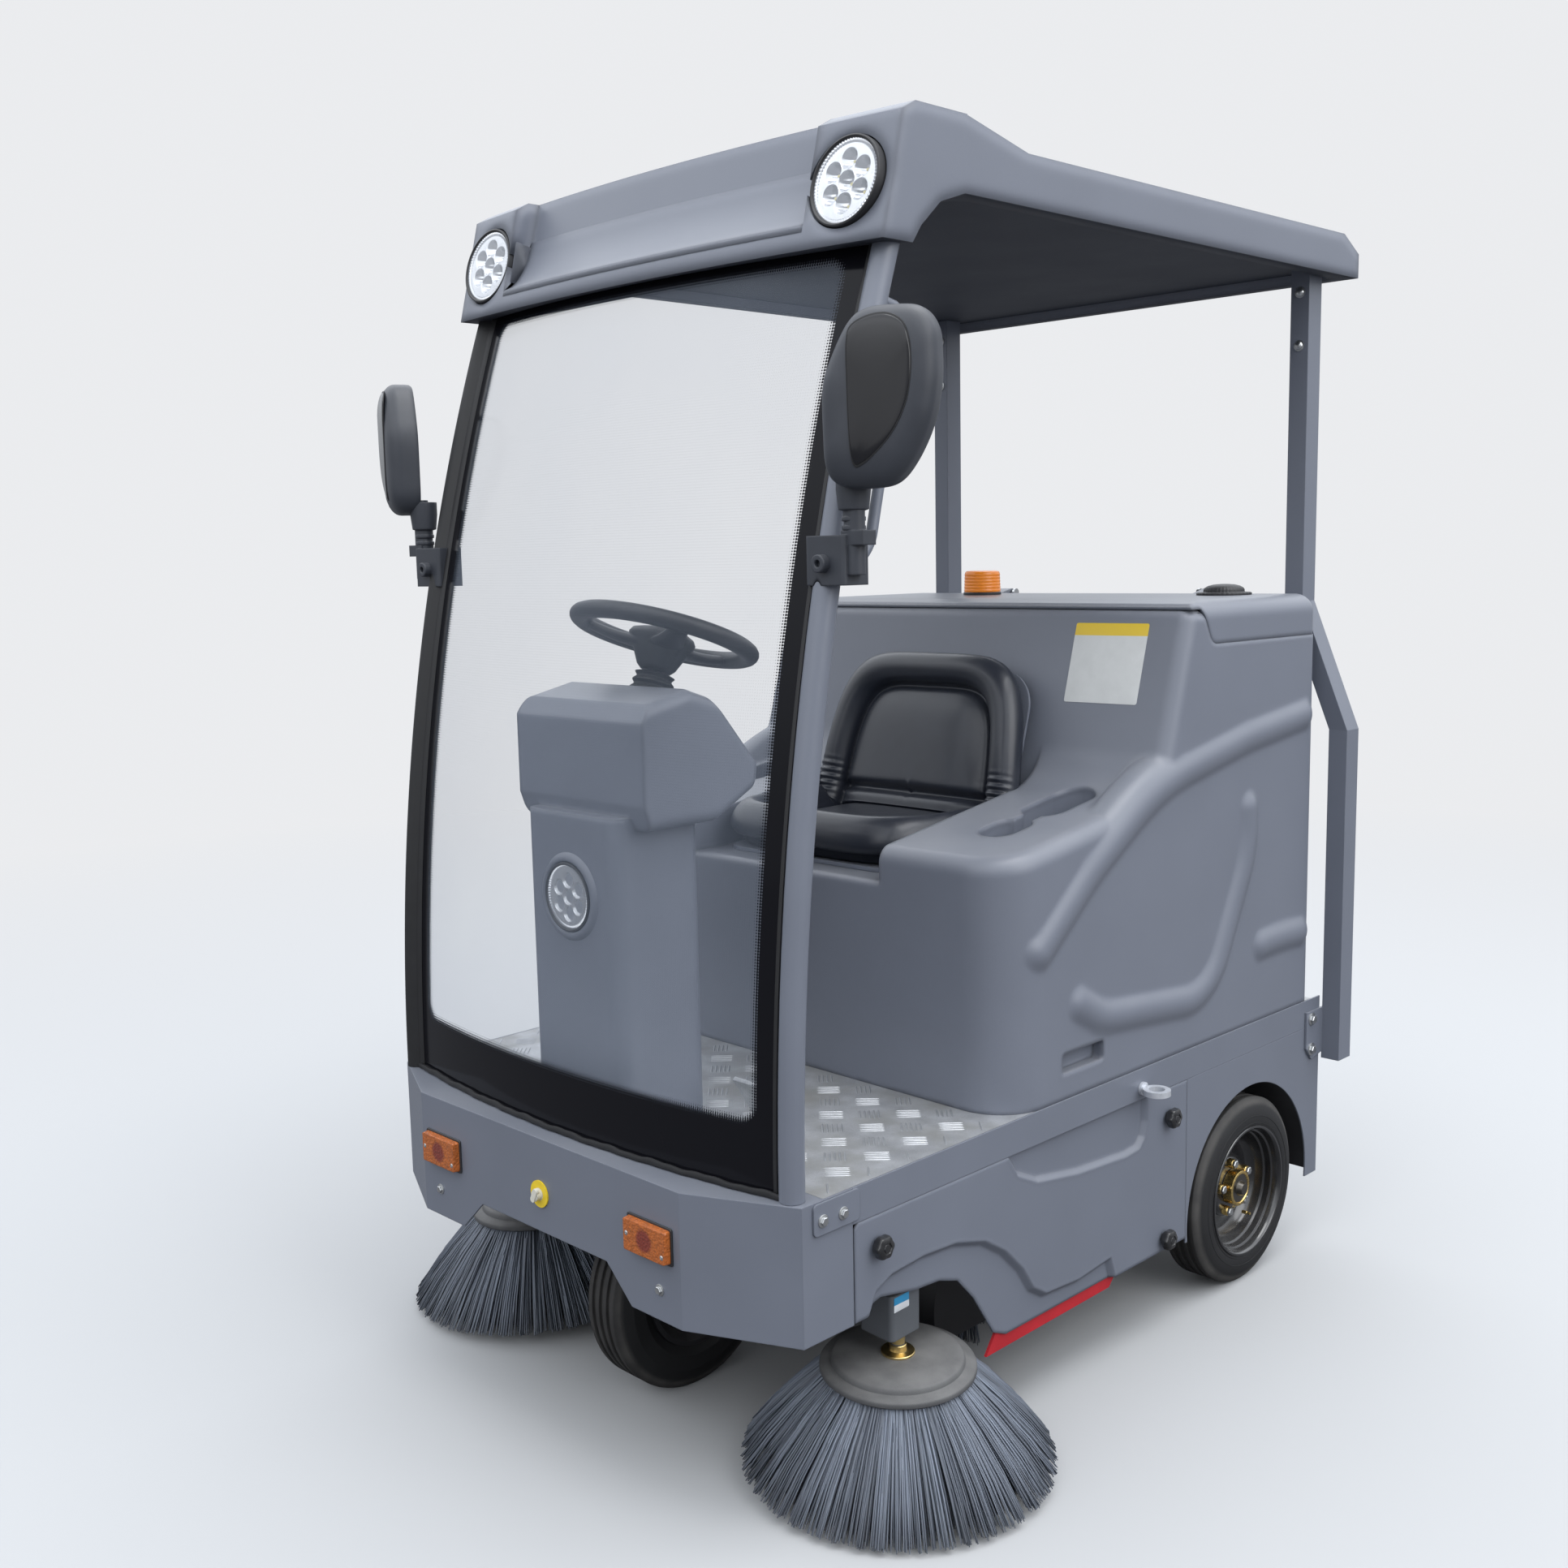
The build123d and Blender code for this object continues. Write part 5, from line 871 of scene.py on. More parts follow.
pedal_metal = finish(
    "pedal_metal", (0.58, 0.59, 0.60), 0.33, drift=0.2, scale=60.0, grain=500.0, metal=1.0, soften=0.001,
    zone=brake_side, zone_look=((0.018, 0.018, 0.020), 0.45, 0.0),
)
dress(pedal_metal, "pedals")
plate_out = np.array((0.0, 68.0, 50.0)) / sqrt(68.0**2 + 50.0**2)
ring_bolt = [(3.2, 0), (8, 0), (8, 1.6), (3.8, 2.2), (3.2, 0)]
pedal_bolts = []
for bolt_x, climb in ((0.203, 0.35), (0.227, 0.62)):
    spot = (bolt_x, aft(308 - 50 * climb), 0.517 + 0.068 * climb)
    pedal_bolts.append(lathe(ring_bolt, spot, plate_out, 20))
fitted("pedal_bolts", pedal_bolts, ivory, "chassis", "pedal_steel")

# Seat: a one-piece bucket of black vinyl over moulded foam, drawn flat here and folded at the
# hip. A thick rolled rim runs all round, with accordion pleats where it bends, and the two
# crowned panels inside meet in a deep crease. It sits on a bent steel pan.
dress(powder_coat, "seat_pan")
seat_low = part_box("seat_cushion")[0]
seat_half_width, seat_flat_length, seat_bend, seat_back_length = 0.248, 0.2854, 0.062, 0.304
seat_lean = radians(90 - 16.3)
hip = seat_flat_length + seat_bend * 0.62
vinyl = finish(
    "black_vinyl", (0.014, 0.017, 0.026), 0.36, drift=0.15, scale=30.0, grain=1400.0, depth=0.00014,
    coat=0.2, dust=0.04,
)


def fold_seat(across, along, height):
    """The flat seat folded: level to the hip, round one arc, then up the leaning back.

    A point height above the sheet moves out along the sheet's own upward direction.
    """
    arc = seat_bend * seat_lean
    turn = np.clip((along - seat_flat_length) / arc, 0, 1) * seat_lean
    past = np.clip(along - seat_flat_length - arc, 0, None)
    level_part = np.minimum(along, seat_flat_length)
    depth = level_part + seat_bend * np.sin(turn) + past * cos(seat_lean) - height * np.sin(turn)
    rise = seat_bend * (1 - np.cos(turn)) + past * sin(seat_lean) + height * np.cos(turn)
    return placed(across, seat_low.y + depth, seat_low.z + rise)


def seat_ring(inset, angle=None, turns=600):
    """Outline of the flat seat moved inwards: a rounded oblong, narrower at its top.

    x = +-half_wide |cos a|^p and v = +-half_long |sin a|^p, with the angles spaced so that
    the points lie evenly along the outline.
    """
    if angle is None:
        dense = np.linspace(0, 2 * pi, 100001)
        line = np.stack(seat_ring(0.05, dense), axis=1)
        run = np.concatenate([[0], np.cumsum(np.linalg.norm(np.diff(line, axis=0), axis=1))])
        angle = np.interp(np.linspace(0, run[-1], turns, endpoint=False), run, dense)
    length = seat_flat_length + seat_bend * seat_lean + seat_back_length
    half_wide, half_long = max(seat_half_width - inset, 0.0), length / 2 - inset
    power = 2 / 5.2
    x = np.sign(np.cos(angle)) * np.abs(np.cos(angle)) ** power * half_wide
    v = np.sign(np.sin(angle)) * np.abs(np.sin(angle)) ** power * half_long + length / 2
    narrow = 1 - 0.11 * np.clip((v - hip) / seat_back_length, 0, 1.2) ** 1.3
    return x * narrow, v


rim_round = 0.031
seat_profile = [(d, 0.004) for d in (seat_half_width, 0.15, 0.06, 0.022)]
seat_profile += [(rim_round * (1 - cos(t)), 0.036 + 0.032 * sin(t)) for t in np.linspace(-1.2, pi / 2, 12)]
seat_profile += [(rim_round * (1 + sin(t)), 0.034 + 0.034 * cos(t)) for t in np.linspace(0.15, 1.45, 10)]
seat_profile += [(0.0640, 0.032), (0.0665, 0.0305), (0.0690, 0.033), (0.0720, 0.0385)]
panel_steps = [0.076, 0.081, *np.arange(0.088, seat_half_width - 0.004, 0.008), seat_half_width]
seat_profile += [(d, 0.040 + 0.016 * (1 - np.exp(-(d - 0.072) / 0.03))) for d in panel_steps]


def hump(along, middle, width, power=2):
    """exp of minus (distance from middle over width) to a power: a smooth bump of height 1."""
    return np.exp(-(np.abs((along - middle) / width) ** power))


pleat_place, pleat_step, base_rows = hip + 0.082, 0.0135, 4
seat_rows = []
for number, (inset, height) in enumerate(seat_profile):
    across, along = seat_ring(inset)
    raised = np.full_like(across, height)
    if number >= base_rows:
        on_rim = hump(inset, 0.03, 0.028)
        inside = 1 / (1 + np.exp(-(inset - 0.062) / 0.004))
        pleats = np.cos(2 * pi * (along - pleat_place) / pleat_step) * hump(along, pleat_place, 0.034, 4)
        swell = 0.016 * hump(along, 0.2, 0.16, 4) + 0.012 * hump(along, 0.03, 0.06)
        pinch = 0.006 * hump(along, pleat_place, 0.05)
        creases = 0.026 * hump(along, hip, 0.011) + 0.017 * hump(along, hip + 0.070, 0.009)
        creases += 0.010 * hump(along, 0.135, 0.009)
        raised += on_rim * (0.0042 * pleats + swell - pinch) - inside * creases
    seat_rows.append(fold_seat(across, along, raised))
seat = fitted(
    "seat", [np.array(seat_rows)], vinyl, "chassis", "black_vinyl", "seat_cushion", "seat_back",
    sharp=180, merge=0.0001,
)

# Body shell: one rotomoulded plastic body over the battery, with a hollow for the seat, cup
# wells in its arms and swept beads in its sides; a blank two-colour sticker on its back wall.
dress(moulded_grey, "body_shell")
corners_mm = np.array([
    (276.6, 1070.2, 1279.9), (433.5, 1070.5, 1280.8), (418.5, 1028.8, 1140.8), (262.1, 1027.8, 1137.7),
])
sticker_corners = placed(corners_mm[:, 0] / 1000, aft(corners_mm[:, 1]), corners_mm[:, 2] / 1000)
wall_out = np.array((0.0, -312.0, 93.0)) / sqrt(312.0**2 + 93.0**2)
sticker_across = sticker_corners[1] - sticker_corners[0]
sticker_along = sticker_corners[0] - sticker_corners[3]
sticker_size = (np.linalg.norm(sticker_across) / 2, np.linalg.norm(sticker_along) / 2)
sticker_across /= 2 * sticker_size[0]
sticker_along -= sticker_across * np.dot(sticker_along, sticker_across)
sticker_along /= np.linalg.norm(sticker_along)
sticker_middle = sticker_corners.mean(axis=0) + wall_out * 0.0003
band_start = float((sticker_middle + sticker_along * sticker_size[1] * 0.66)[2])


def top_band(tree, place):
    """A mask maker: 1 above the foot of the sticker's yellow band."""
    slope = maths(tree, "MULTIPLY", coordinate(tree, place, "X"), -0.006)
    level = maths(tree, "ADD", coordinate(tree, place, "Z"), slope)
    return spread(tree, level, band_start - 0.0004, band_start + 0.0004)


sticker_film = finish(
    "sticker_film", (0.60, 0.61, 0.60), 0.3, drift=0.05, scale=40.0, coat=0.3,
    zone=top_band, zone_look=((0.72, 0.50, 0.02), 0.3, 0.0),
)
sticker = rounded_plate(sticker_across, sticker_along, *sticker_size, 0.004, sticker_middle, 0.0004)
fitted("blank_sticker", [sticker], sticker_film, "chassis", "moulded_grey")

# Lid: the shell's rotomoulded top, which opens backwards on two bent steel hinges bolted to
# the shell's rear.
dress(moulded_grey, "lid")
dress(bright_zinc, "lid_hinges")

# Vent cap: moulded black plastic, a ribbed skirt under a low dome, pressed into the lid over
# the battery's air hole.
lid_z = 1.3223
cap_profile = [
    (0, 0), (52, 0), (52, 3.5), (50, 5), (40, 5.4), (38.6, 7), (38.6, 10), (36.5, 13.5), (30, 17.5),
    (20, 20), (8, 21), (0, 21),
]


def ribbed_skirt(angle):
    """A fine wave round the rim."""
    return 1 + 0.012 * np.cos(36 * angle)


vent = lathe(cap_profile, (0.372, aft(1412), lid_z), (0, 0, 1), 144, ribbed_skirt)
fitted("ribbed_vent_cap", [vent], moulded_black, "lid", "black_plastic", "vent_cap")

# Beacon: an amber acrylic drum with rings moulded round it, on a black plastic foot that is
# screwed to the lid.
drum_z = np.linspace(6, 47, 60)
drum_r = 39.2 - 1.6 * (drum_z / 47) + 0.75 * np.abs(np.sin((drum_z - 6) * pi / 6.8))
drum = [(0, 6), *zip(drum_r, drum_z), (36.5, 49.5), (33, 51.2), (26, 51.8), (0, 52)]
beacon_amber = finish(
    "beacon_amber", (1.0, 0.27, 0.012), 0.3, drift=0.08, scale=40.0, grain=300.0, depth=0.0001, coat=0.3,
)
beacon_spot = (-0.205, aft(1385), lid_z)
foot = [(0, 0), (41, 0), (41, 4.5), (39.5, 6), (0, 6)]
ringed = lathe(drum, beacon_spot, (0, 0, 1), 64)
fitted("ringed_beacon", [ringed], beacon_amber, "lid", "amber_lens", "beacon")
fitted("beacon_foot", [lathe(foot, beacon_spot, (0, 0, 1), 48)], moulded_black, "lid", "black_plastic")

# Battery: a plain block in its dark plastic case, which stands on the deck and is closed in
# under the shell.
dress(moulded_black, "battery")

# Rear wheels: solid ribbed tyres with two fine rings on the wall and a dusty shoulder, on deep
# gloss-black rims. Five bolts on yellow-zinc collars hold each, round a hub ring, an axle nut
# and a valve.


def wheel_rubber(name, axle):
    """Black rubber that is dusty where the wall turns into the tread, round an axle."""
    def worn_shoulder(tree, place):
        distance = off_line(tree, place, (1, 0, 0), axle)
        rise = spread(tree, distance, 0.164, 0.171)
        fall = spread(tree, distance, 0.174, 0.179, 1.0, 0.6)
        patch = spread(tree, noise(tree, place, 22.0, 5.0), 0.3, 0.7, 0.35, 0.9)
        return maths(tree, "MULTIPLY", maths(tree, "MULTIPLY", rise, fall), patch)

    return finish(
        name, (0.010, 0.010, 0.011), 0.6, drift=0.25, scale=16.0, grain=500.0, depth=0.0002,
        soften=0.004, zone=worn_shoulder, zone_look=((0.075, 0.071, 0.066), 0.8, 0.0),
    )


hands = ((1, "left"), (-1, "right"))
axle_z = 0.181
wheel_middle_x, wheel_disc_x, tyre_face_x = 0.471, 0.463, 0.517
rear_axle = (0.0, aft(1291.0), axle_z)
rear_rubber = wheel_rubber("rear_rubber", rear_axle)
groove_edge = np.linspace(32, -32, 8)
tread_line = []
for number in range(7):
    level = 181 if number % 2 == 0 else 175
    tread_line += [(level, groove_edge[number]), (level, groove_edge[number + 1])]
tyre_wall = [(121, 38), (125, 44.5), (129, 46), (147, 46), (162, 43.5), (171, 39), (178, 35)]
tyre_line = [(121, -38), *tyre_wall, *tread_line, *((r, -h) for r, h in reversed(tyre_wall))]
rim_gloss = finish(
    "rim_gloss", (0.012, 0.012, 0.013), 0.2, drift=0.2, scale=20.0, depth=0.00004, coat=0.8, soften=0.002,
    dust=0.1, zone=line_zone((1, 0, 0), rear_axle, 0.0352),
    zone_look=((0.085, 0.075, 0.060), 0.4, 1.0),
)
rim_line = [
    (0, 16), (25.5, 16), (25.5, -46), (36, -46), (36, -16), (60, -16), (84, -24), (104, -30), (113, -38),
    (119, -45), (125, -47), (126, -44), (120.5, -38), (120.5, 38), (125, 43.5), (127, 46.2), (126, 48),
    (122.5, 48), (120, 45.5), (118.5, 41), (117, 32), (113.5, 30), (112.5, 18), (109, 15.5), (107, 3),
    (101, -9), (92, -14.5), (84, -14), (62, -8), (36, -8), (34, 12), (30, 28), (15, 28), (11, 38), (0, 38),
]
yellow_zinc = finish(
    "yellow_zinc", (0.72, 0.52, 0.20), 0.26, drift=0.3, scale=220.0, depth=0.00005, metal=1.0,
)
wall_ring = np.array([(0, -1), (0.4, 0.3), (1.0, 0.75), (1.6, 0.3), (2.0, -1)])
collar = [(34, 0), (63, 0), (61, 8), (57, 13.5), (52, 15.5), (34, 15.5)]
lug = [(0, 0), (9.5, 0), (9.5, 9), (8.2, 11), (0, 11)]
head = [(0, 9), (8.2, 9), (8.2, 15.5), (6.6, 16.8), (0, 16.8)]
hub_ring = [(26, -20), (34.3, -20), (34.3, 1.2), (32.6, 2.2), (29, 2.2), (27.5, 0.5), (26, -6)]
nut = [(0, 0), (13, 0), (13, 9), (11.6, 10.2), (7.5, 10.2), (7.5, 8), (0, 8)]
stem = [(0, 0), (3.4, 0), (3.4, 10), (2.6, 11), (2.6, 17), (0, 17.5)]
bolt_x, bolt_circle, bolt_turn = wheel_disc_x + 0.0152, 0.0485, 0.45
hub_x, nut_x = wheel_disc_x + 0.0355, wheel_disc_x + 0.0295
valve_x, valve_circle, valve_turn = wheel_disc_x + 0.014, 0.084, -0.95


def on_wheel(x, side, reach=0.0, turn=0.0):
    """A place on the rear wheel of a side, at reach from the axle and an angle round it."""
    return np.array((side * x, rear_axle[1] + cos(turn) * reach, axle_z + sin(turn) * reach))


for side, label in hands:
    out, body = (side, 0, 0), f"rear_wheel_{label}"
    middle, face, disc = (on_wheel(x, side) for x in (wheel_middle_x, tyre_face_x, wheel_disc_x))
    tyre = lathe(tyre_line, middle, out, 96)
    fitted(f"ribbed_tyre_{label}", [tyre], rear_rubber, body, "tyre", f"rear_tyre_{label}")
    dished = lathe(rim_line, middle, out, 96)
    fitted(f"dished_rim_{label}", [dished], rim_gloss, body, "chassis_paint", f"rear_rim_{label}")
    rings = [lathe(wall_ring + (r, 0), face, out, 96) for r in (131.0, 145.0)]
    fitted(f"wall_rings_{label}", rings, rear_rubber, body, "tyre")
    fitted(f"wheel_discs_{label}", [lathe(collar, disc, out, 64)], rim_gloss, body, "chassis_paint")
    bolts = [on_wheel(bolt_x, side, bolt_circle, bolt_turn + 2 * pi * n / 5) for n in range(5)]
    brass_work = [lathe(lug, bolt, out, 20) for bolt in bolts]
    brass_work.append(lathe(hub_ring, on_wheel(hub_x, side), out, 40))
    brass_work.append(lathe(nut, on_wheel(nut_x, side), out, 6))
    brass_work.append(lathe(stem, on_wheel(valve_x, side, valve_circle, valve_turn), out, 12))
    fitted(f"wheel_brass_{label}", brass_work, yellow_zinc, body, "zinc_steel")
    heads = [lathe(head, bolt, out, 6) for bolt in bolts]
    fitted(f"wheel_bolts_{label}", heads, bright_zinc, body, "zinc_steel")

# Front wheel: the same kind of ribbed rubber tyre on a plain black steel rim, held in the
# front fork.
dress(wheel_rubber("front_rubber", (0.0, aft(292.0), axle_z)), "front_tyre")
dress(black_paint, "front_rim")

# Wheel wells: a black sheet folded round the top, the rear and the inner side of each rear
# wheel, seen only through the gap between the tyre and the arch.
well_turn = np.linspace(radians(182), radians(6), 60)
well_y, well_z = aft(1305.0), 0.165
well_line = [(0.400, 0.120), (0.400, 0.224), (0.506, 0.224), (0.506, 0.226), (0.398, 0.226), (0.398, 0.120)]
well_out, well_reach = np.array(well_line + well_line[:1]).T[:, :, None]
well_rows = (well_y - well_reach * np.cos(well_turn), well_z + well_reach * np.sin(well_turn))
wells = [placed(side * well_out, *well_rows) for side in (1, -1)]
fitted("wheel_wells", wells, black_paint, "chassis", "chassis_paint", loop=False)

# Side-brush arms: a cast motor box in dark grey paint, with a blank blue and white label on
# its outer side.
motor_paint = finish(
    "motor_paint", (0.085, 0.092, 0.102), 0.42, drift=0.1, scale=30.0, grain=700.0, depth=0.0001,
    soften=0.003, dust=0.3,
)
dress(motor_paint, "brush_arm_left", "brush_arm_right")
brass = finish("brass", (0.62, 0.47, 0.21), 0.3, drift=0.2, scale=120.0, depth=0.00005, metal=1.0)
brush_y, brush_x, dish_z = aft(324.0), 0.468, 0.168
brush_lean_out, brush_lean_front = radians(2.5), radians(2.0)


def brush_frame(side):
    """Middle of a brush's dish, its leaning axis and two directions square to it."""
    axis = np.array([side * sin(brush_lean_out), -sin(brush_lean_front), 0.0])
    axis[2] = sqrt(1 - axis[0] ** 2 - axis[1] ** 2)
    east = np.cross((0.0, 1.0, 0.0), axis)
    east /= np.linalg.norm(east)
    return np.array([side * brush_x, brush_y, dish_z]), axis, east, np.cross(axis, east)


label_fold, label_out, label_up, label_front = 0.2860, 0.0182, 0.120, 0.012


def blue_field(tree, place):
    """A mask maker: 1 on the label's upper two thirds."""
    return maths(tree, "GREATER_THAN", coordinate(tree, place, "Z"), label_fold)


label_film = finish(
    "label_film", (0.62, 0.64, 0.66), 0.3, drift=0.04, coat=0.4, zone=blue_field,
    zone_look=((0.02, 0.22, 0.42), 0.3, 0.0),
)
for side, label in hands:
    middle, axis, east, north = brush_frame(side)
    spot = middle + east * side * label_out + axis * label_up - north * label_front
    plate = rounded_plate(north * side, axis, 0.017, 0.012, 0.001, spot, 0.0003)
    fitted(f"blank_label_{label}", [plate], label_film, f"brush_arm_{label}", "motor_paint")

# Side brushes: a stepped plate of dark grey plastic on a brass flange and shaft, with
# eighty-six tufts of blue-grey nylon strands pressed in, in two rows that flare outwards.
dish_plastic = finish(
    "dish_plastic", (0.070, 0.071, 0.074), 0.6, drift=0.25, scale=22.0, grain=600.0, depth=0.00012,
    soften=0.0015, dust=0.36,
)
dish_profile = [
    (0, 0), (119, 0), (122, 2.5), (122, 8.5), (120, 11), (107, 13.4), (104.5, 14.4), (102.5, 20.5),
    (99, 23.2), (60, 25.4), (30, 26), (0, 26),
]
flange_profile = [
    (11.1, 25.5), (26, 25.5), (26.5, 26.2), (26.5, 28.6), (25.6, 29.6), (17, 29.8), (14.2, 31), (13.6, 34),
    (13.6, 40), (12.6, 41), (11.1, 41),
]
shaft_profile = [(0, 41.5), (9.5, 41.5), (11.3, 43), (11.3, 59.6), (0, 59.6)]
strand_nylon, tree, output = tree_of("strand_nylon")
shade = node(tree, "Attribute", attribute_name="shade").outputs["Fac"]
strand_tone = lay_over(tree, shade, (0.018, 0.020, 0.025), (0.205, 0.235, 0.290))
principled(tree, output, {"Base Color": strand_tone, "Roughness": 0.42})


def strand_bundle(name, roots, tips, bow, thick, shades, steps=4, sides=3):
    """Strands from roots to tips, each a tapering prism bent by bow at its middle.

    A strand's middle line is root + t (tip - root) + 4 t (1 - t) bow, and its shade falls
    towards the tip. All strands are worked out together as one array.
    """
    count = len(roots)
    share = np.linspace(0, 1, steps)
    t = share[None, :, None]
    line = roots[:, None] + t * (tips - roots)[:, None] + 4 * t * (1 - t) * bow[:, None]
    way = (tips - roots) / np.linalg.norm(tips - roots, axis=1, keepdims=True)
    beside = np.cross(way, (0.31, 0.22, 0.92))
    beside /= np.maximum(np.linalg.norm(beside, axis=1, keepdims=True), 1e-6)
    other = np.cross(way, beside)
    turn = np.arange(sides) * 2 * pi / sides
    ring = np.cos(turn)[None, None, :, None] * beside[:, None, None]
    ring = ring + np.sin(turn)[None, None, :, None] * other[:, None, None]
    width = thick * (1 - 0.45 * share)[None, :, None, None]
    points = (line[:, :, None] + ring * width).reshape(-1, 3)
    index = np.arange(steps * sides).reshape(steps, sides)
    prism = quads(np.hstack([index, index[:, :1]]))
    faces = (np.arange(count)[:, None, None] * steps * sides + prism).reshape(-1, 4)
    piece = face_piece(name, points, faces, strand_nylon)
    shade = piece.data.attributes.new("shade", "FLOAT", "POINT")
    fall = (1 - 0.55 * share**3)[None, :, None] * np.ones((1, 1, sides))
    shade.data.foreach_set("value", (shades[:, None, None] * fall).reshape(-1).astype(np.float32))
    return piece


chance = np.random.default_rng(7)
tuft_radius, strand_drop, strand_radius = 0.011, 0.148, 0.0019
# Each row's last number scales its strands' tone; the inner row's 0.55 is painted shade under the outer row.
tuft_rows = ((46, 0.108, 0.2470, 34, 1.0), (40, 0.092, 0.212, 26, 0.55))
for side, label in hands:
    centre, axis, east, north = brush_frame(side)
    body = f"side_brush_{label}"
    dish = lathe(dish_profile, centre, axis, 96)
    solid_dish = f"brush_dish_{label}"
    fitted(f"stepped_dish_{label}", [dish], dish_plastic, body, "black_plastic", solid_dish, sharp=50)
    fitted(f"brass_flange_{label}", [lathe(flange_profile, centre, axis, 48)], brass, body, "zinc_steel")
    shaft = lathe(shaft_profile, centre, axis, 32)
    fitted(f"brass_shaft_{label}", [shaft], brass, f"brush_arm_{label}", "zinc_steel")
    roots, tips, bows, shades = [], [], [], []
    for row, (tufts, start, reach, per_tuft, light) in enumerate(tuft_rows):
        tuft = np.repeat(np.arange(tufts), per_tuft)
        middle = (tuft + 0.5 * row) * 2 * pi / tufts
        spread_out = chance.normal(0, 0.36, len(tuft))
        angle_root = middle + np.clip(spread_out, -0.9, 0.9) * tuft_radius / start
        angle_tip = middle + spread_out * 0.66 * 2 * pi / tufts
        radius_root = start + chance.uniform(-0.005, 0.005, len(tuft))
        radius_tip = reach - np.abs(chance.normal(0, 0.010, len(tuft)))
        drop = strand_drop - chance.uniform(0, 0.007, len(tuft)) + 0.1 * (radius_tip - reach)
        out_root = np.cos(angle_root)[:, None] * east + np.sin(angle_root)[:, None] * north
        out_tip = np.cos(angle_tip)[:, None] * east + np.sin(angle_tip)[:, None] * north
        roots.append(centre + out_root * radius_root[:, None] + axis * 0.002)
        tips.append(centre + out_tip * radius_tip[:, None] - axis * drop[:, None])
        bows.append(out_tip * chance.uniform(0.000, 0.009, len(tuft))[:, None] + axis * 0.003)
        tone = np.repeat(chance.uniform(0.55, 0.95, tufts), per_tuft)
        shades.append(np.clip(tone * chance.uniform(0.55, 1.1, len(tuft)), 0, 1) * light)
    bundle = (np.concatenate(part) for part in (roots, tips, bows))
    ring_of_tufts = strand_bundle(f"strands_{label}", *bundle, strand_radius, np.concatenate(shades))
    carried(ring_of_tufts, body, "bristle", f"bristles_{label}")

# Main brush: a steel tube between the rails, painted black, with tufts of nylon strands set
# in slanting rows round it.
brush_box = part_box("main_brush")
roller_y, roller_z = (brush_box[0].y + brush_box[1].y) / 2, (brush_box[0].z + brush_box[1].z) / 2
roller_reach, core_radius, core_half = 0.1275, 0.045, 0.324
row_count, tufts_in_row, strands_in_tuft = 14, 52, 7
row_number, tuft_number, _ = np.indices((row_count, tufts_in_row, strands_in_tuft)).reshape(3, -1)
tuft_x = (tuft_number + 0.5) / tufts_in_row * 2 - 1
tuft_turn = row_number * 2 * pi / row_count + tuft_x * 0.35
loose_x = chance.normal(0, 0.0040, tuft_x.size)
loose_turn = chance.normal(0, 0.035, tuft_x.size)
tip_reach = roller_reach - np.abs(chance.normal(0, 0.002, tuft_x.size))


def round_roller(x, turn, reach):
    """Points at distance reach from the roller's middle line, at angle turn."""
    return placed(x, roller_y + reach * np.cos(turn), roller_z + reach * np.sin(turn))


root_x = tuft_x * (core_half - 0.008)
tip_x = np.clip(root_x + loose_x, -core_half - 0.0005, core_half + 0.0005)
roller_roots = round_roller(root_x, tuft_turn, core_radius - 0.002)
roller_tips = round_roller(tip_x, tuft_turn + loose_turn, tip_reach)
roller_shade = chance.uniform(0.25, 0.8, tuft_x.size)
unbent = np.zeros_like(roller_tips)
roller = strand_bundle("roller_strands", roller_roots, roller_tips, unbent, 0.0017, roller_shade, steps=3)
carried(roller, "main_brush", "bristle", "main_brush")
core_profile = [(0, -348), (12, -348), (12, -325), (45, -325), (45, 325), (12, 325), (12, 348), (0, 348)]
core = lathe(core_profile, (0, roller_y, roller_z), (1, 0, 0), 40)
fitted("roller_tube", [core], black_paint, "main_brush", "bristle")

# Mirrors: moulded heads with a glossy inset on the front and a glass behind, each on a neck
# that turns in a collar on a clamp round the front post.
mirror_grey = finish(
    "mirror_plastic", (0.036, 0.040, 0.050), 0.45, drift=0.1, scale=30.0, grain=1000.0, depth=0.0001,
    soften=0.003, dust=0.15,
)
inset_gloss = finish("inset_gloss", (0.008, 0.008, 0.010), 0.13, drift=0.1, scale=20.0, depth=0.00001)
mirror_glass = finish(
    "mirror_glass", (0.80, 0.83, 0.85), 0.03, drift=0.03, scale=4.0, depth=0.000004, metal=1.0,
)
dress(mirror_grey, "mirror_clamp_left", "mirror_clamp_right")
head_outline = np.array([
    (-78.5, 16), (-79, -45), (-75, -92), (-55, -114), (-15, -118), (20, -111), (46, -82), (68, -36), (78, 12),
    (79, 55), (75, 88), (56, 112), (18, 117), (-18, 114), (-42, 98), (-66, 54),
]) / 1000
inset_outline = np.array([
    (-37, 70), (-30, 90), (-6, 101), (18, 101), (38, 88), (47, 62), (48, 28), (42, -8), (26, -42), (4, -68),
    (-18, -85), (-30, -85), (-35, -50), (-37, 20),
]) / 1000


def rounded(outline):
    """A closed smooth line through an outline's corners, by Catmull-Rom cubics of eight steps."""
    before, here, after, beyond = (np.roll(outline, shift, axis=0)[:, None] for shift in (1, 0, -1, -2))
    t = (np.arange(8) / 8)[None, :, None]
    curve = 2 * here + (after - before) * t + (2 * before - 5 * here + 4 * after - beyond) * t**2
    curve = curve + (3 * here - before - 3 * after + beyond) * t**3
    return (curve / 2).reshape(-1, 2)


def head_bulge(size):
    """Height of the head's front at a share size of its outline: flat, then rounding down."""
    return 0.001 + 0.027 * np.sqrt(np.clip(1 - np.abs(size) ** 5, 0, None))


head_line, inset_line = rounded(head_outline), rounded(inset_outline)
head_half, inset_middle = np.array((0.079, 0.118)), np.array((0.004, 0.012))
mirror_turn, mirror_x, mirror_y, mirror_z = radians(25), 0.590, aft(176), 1.620


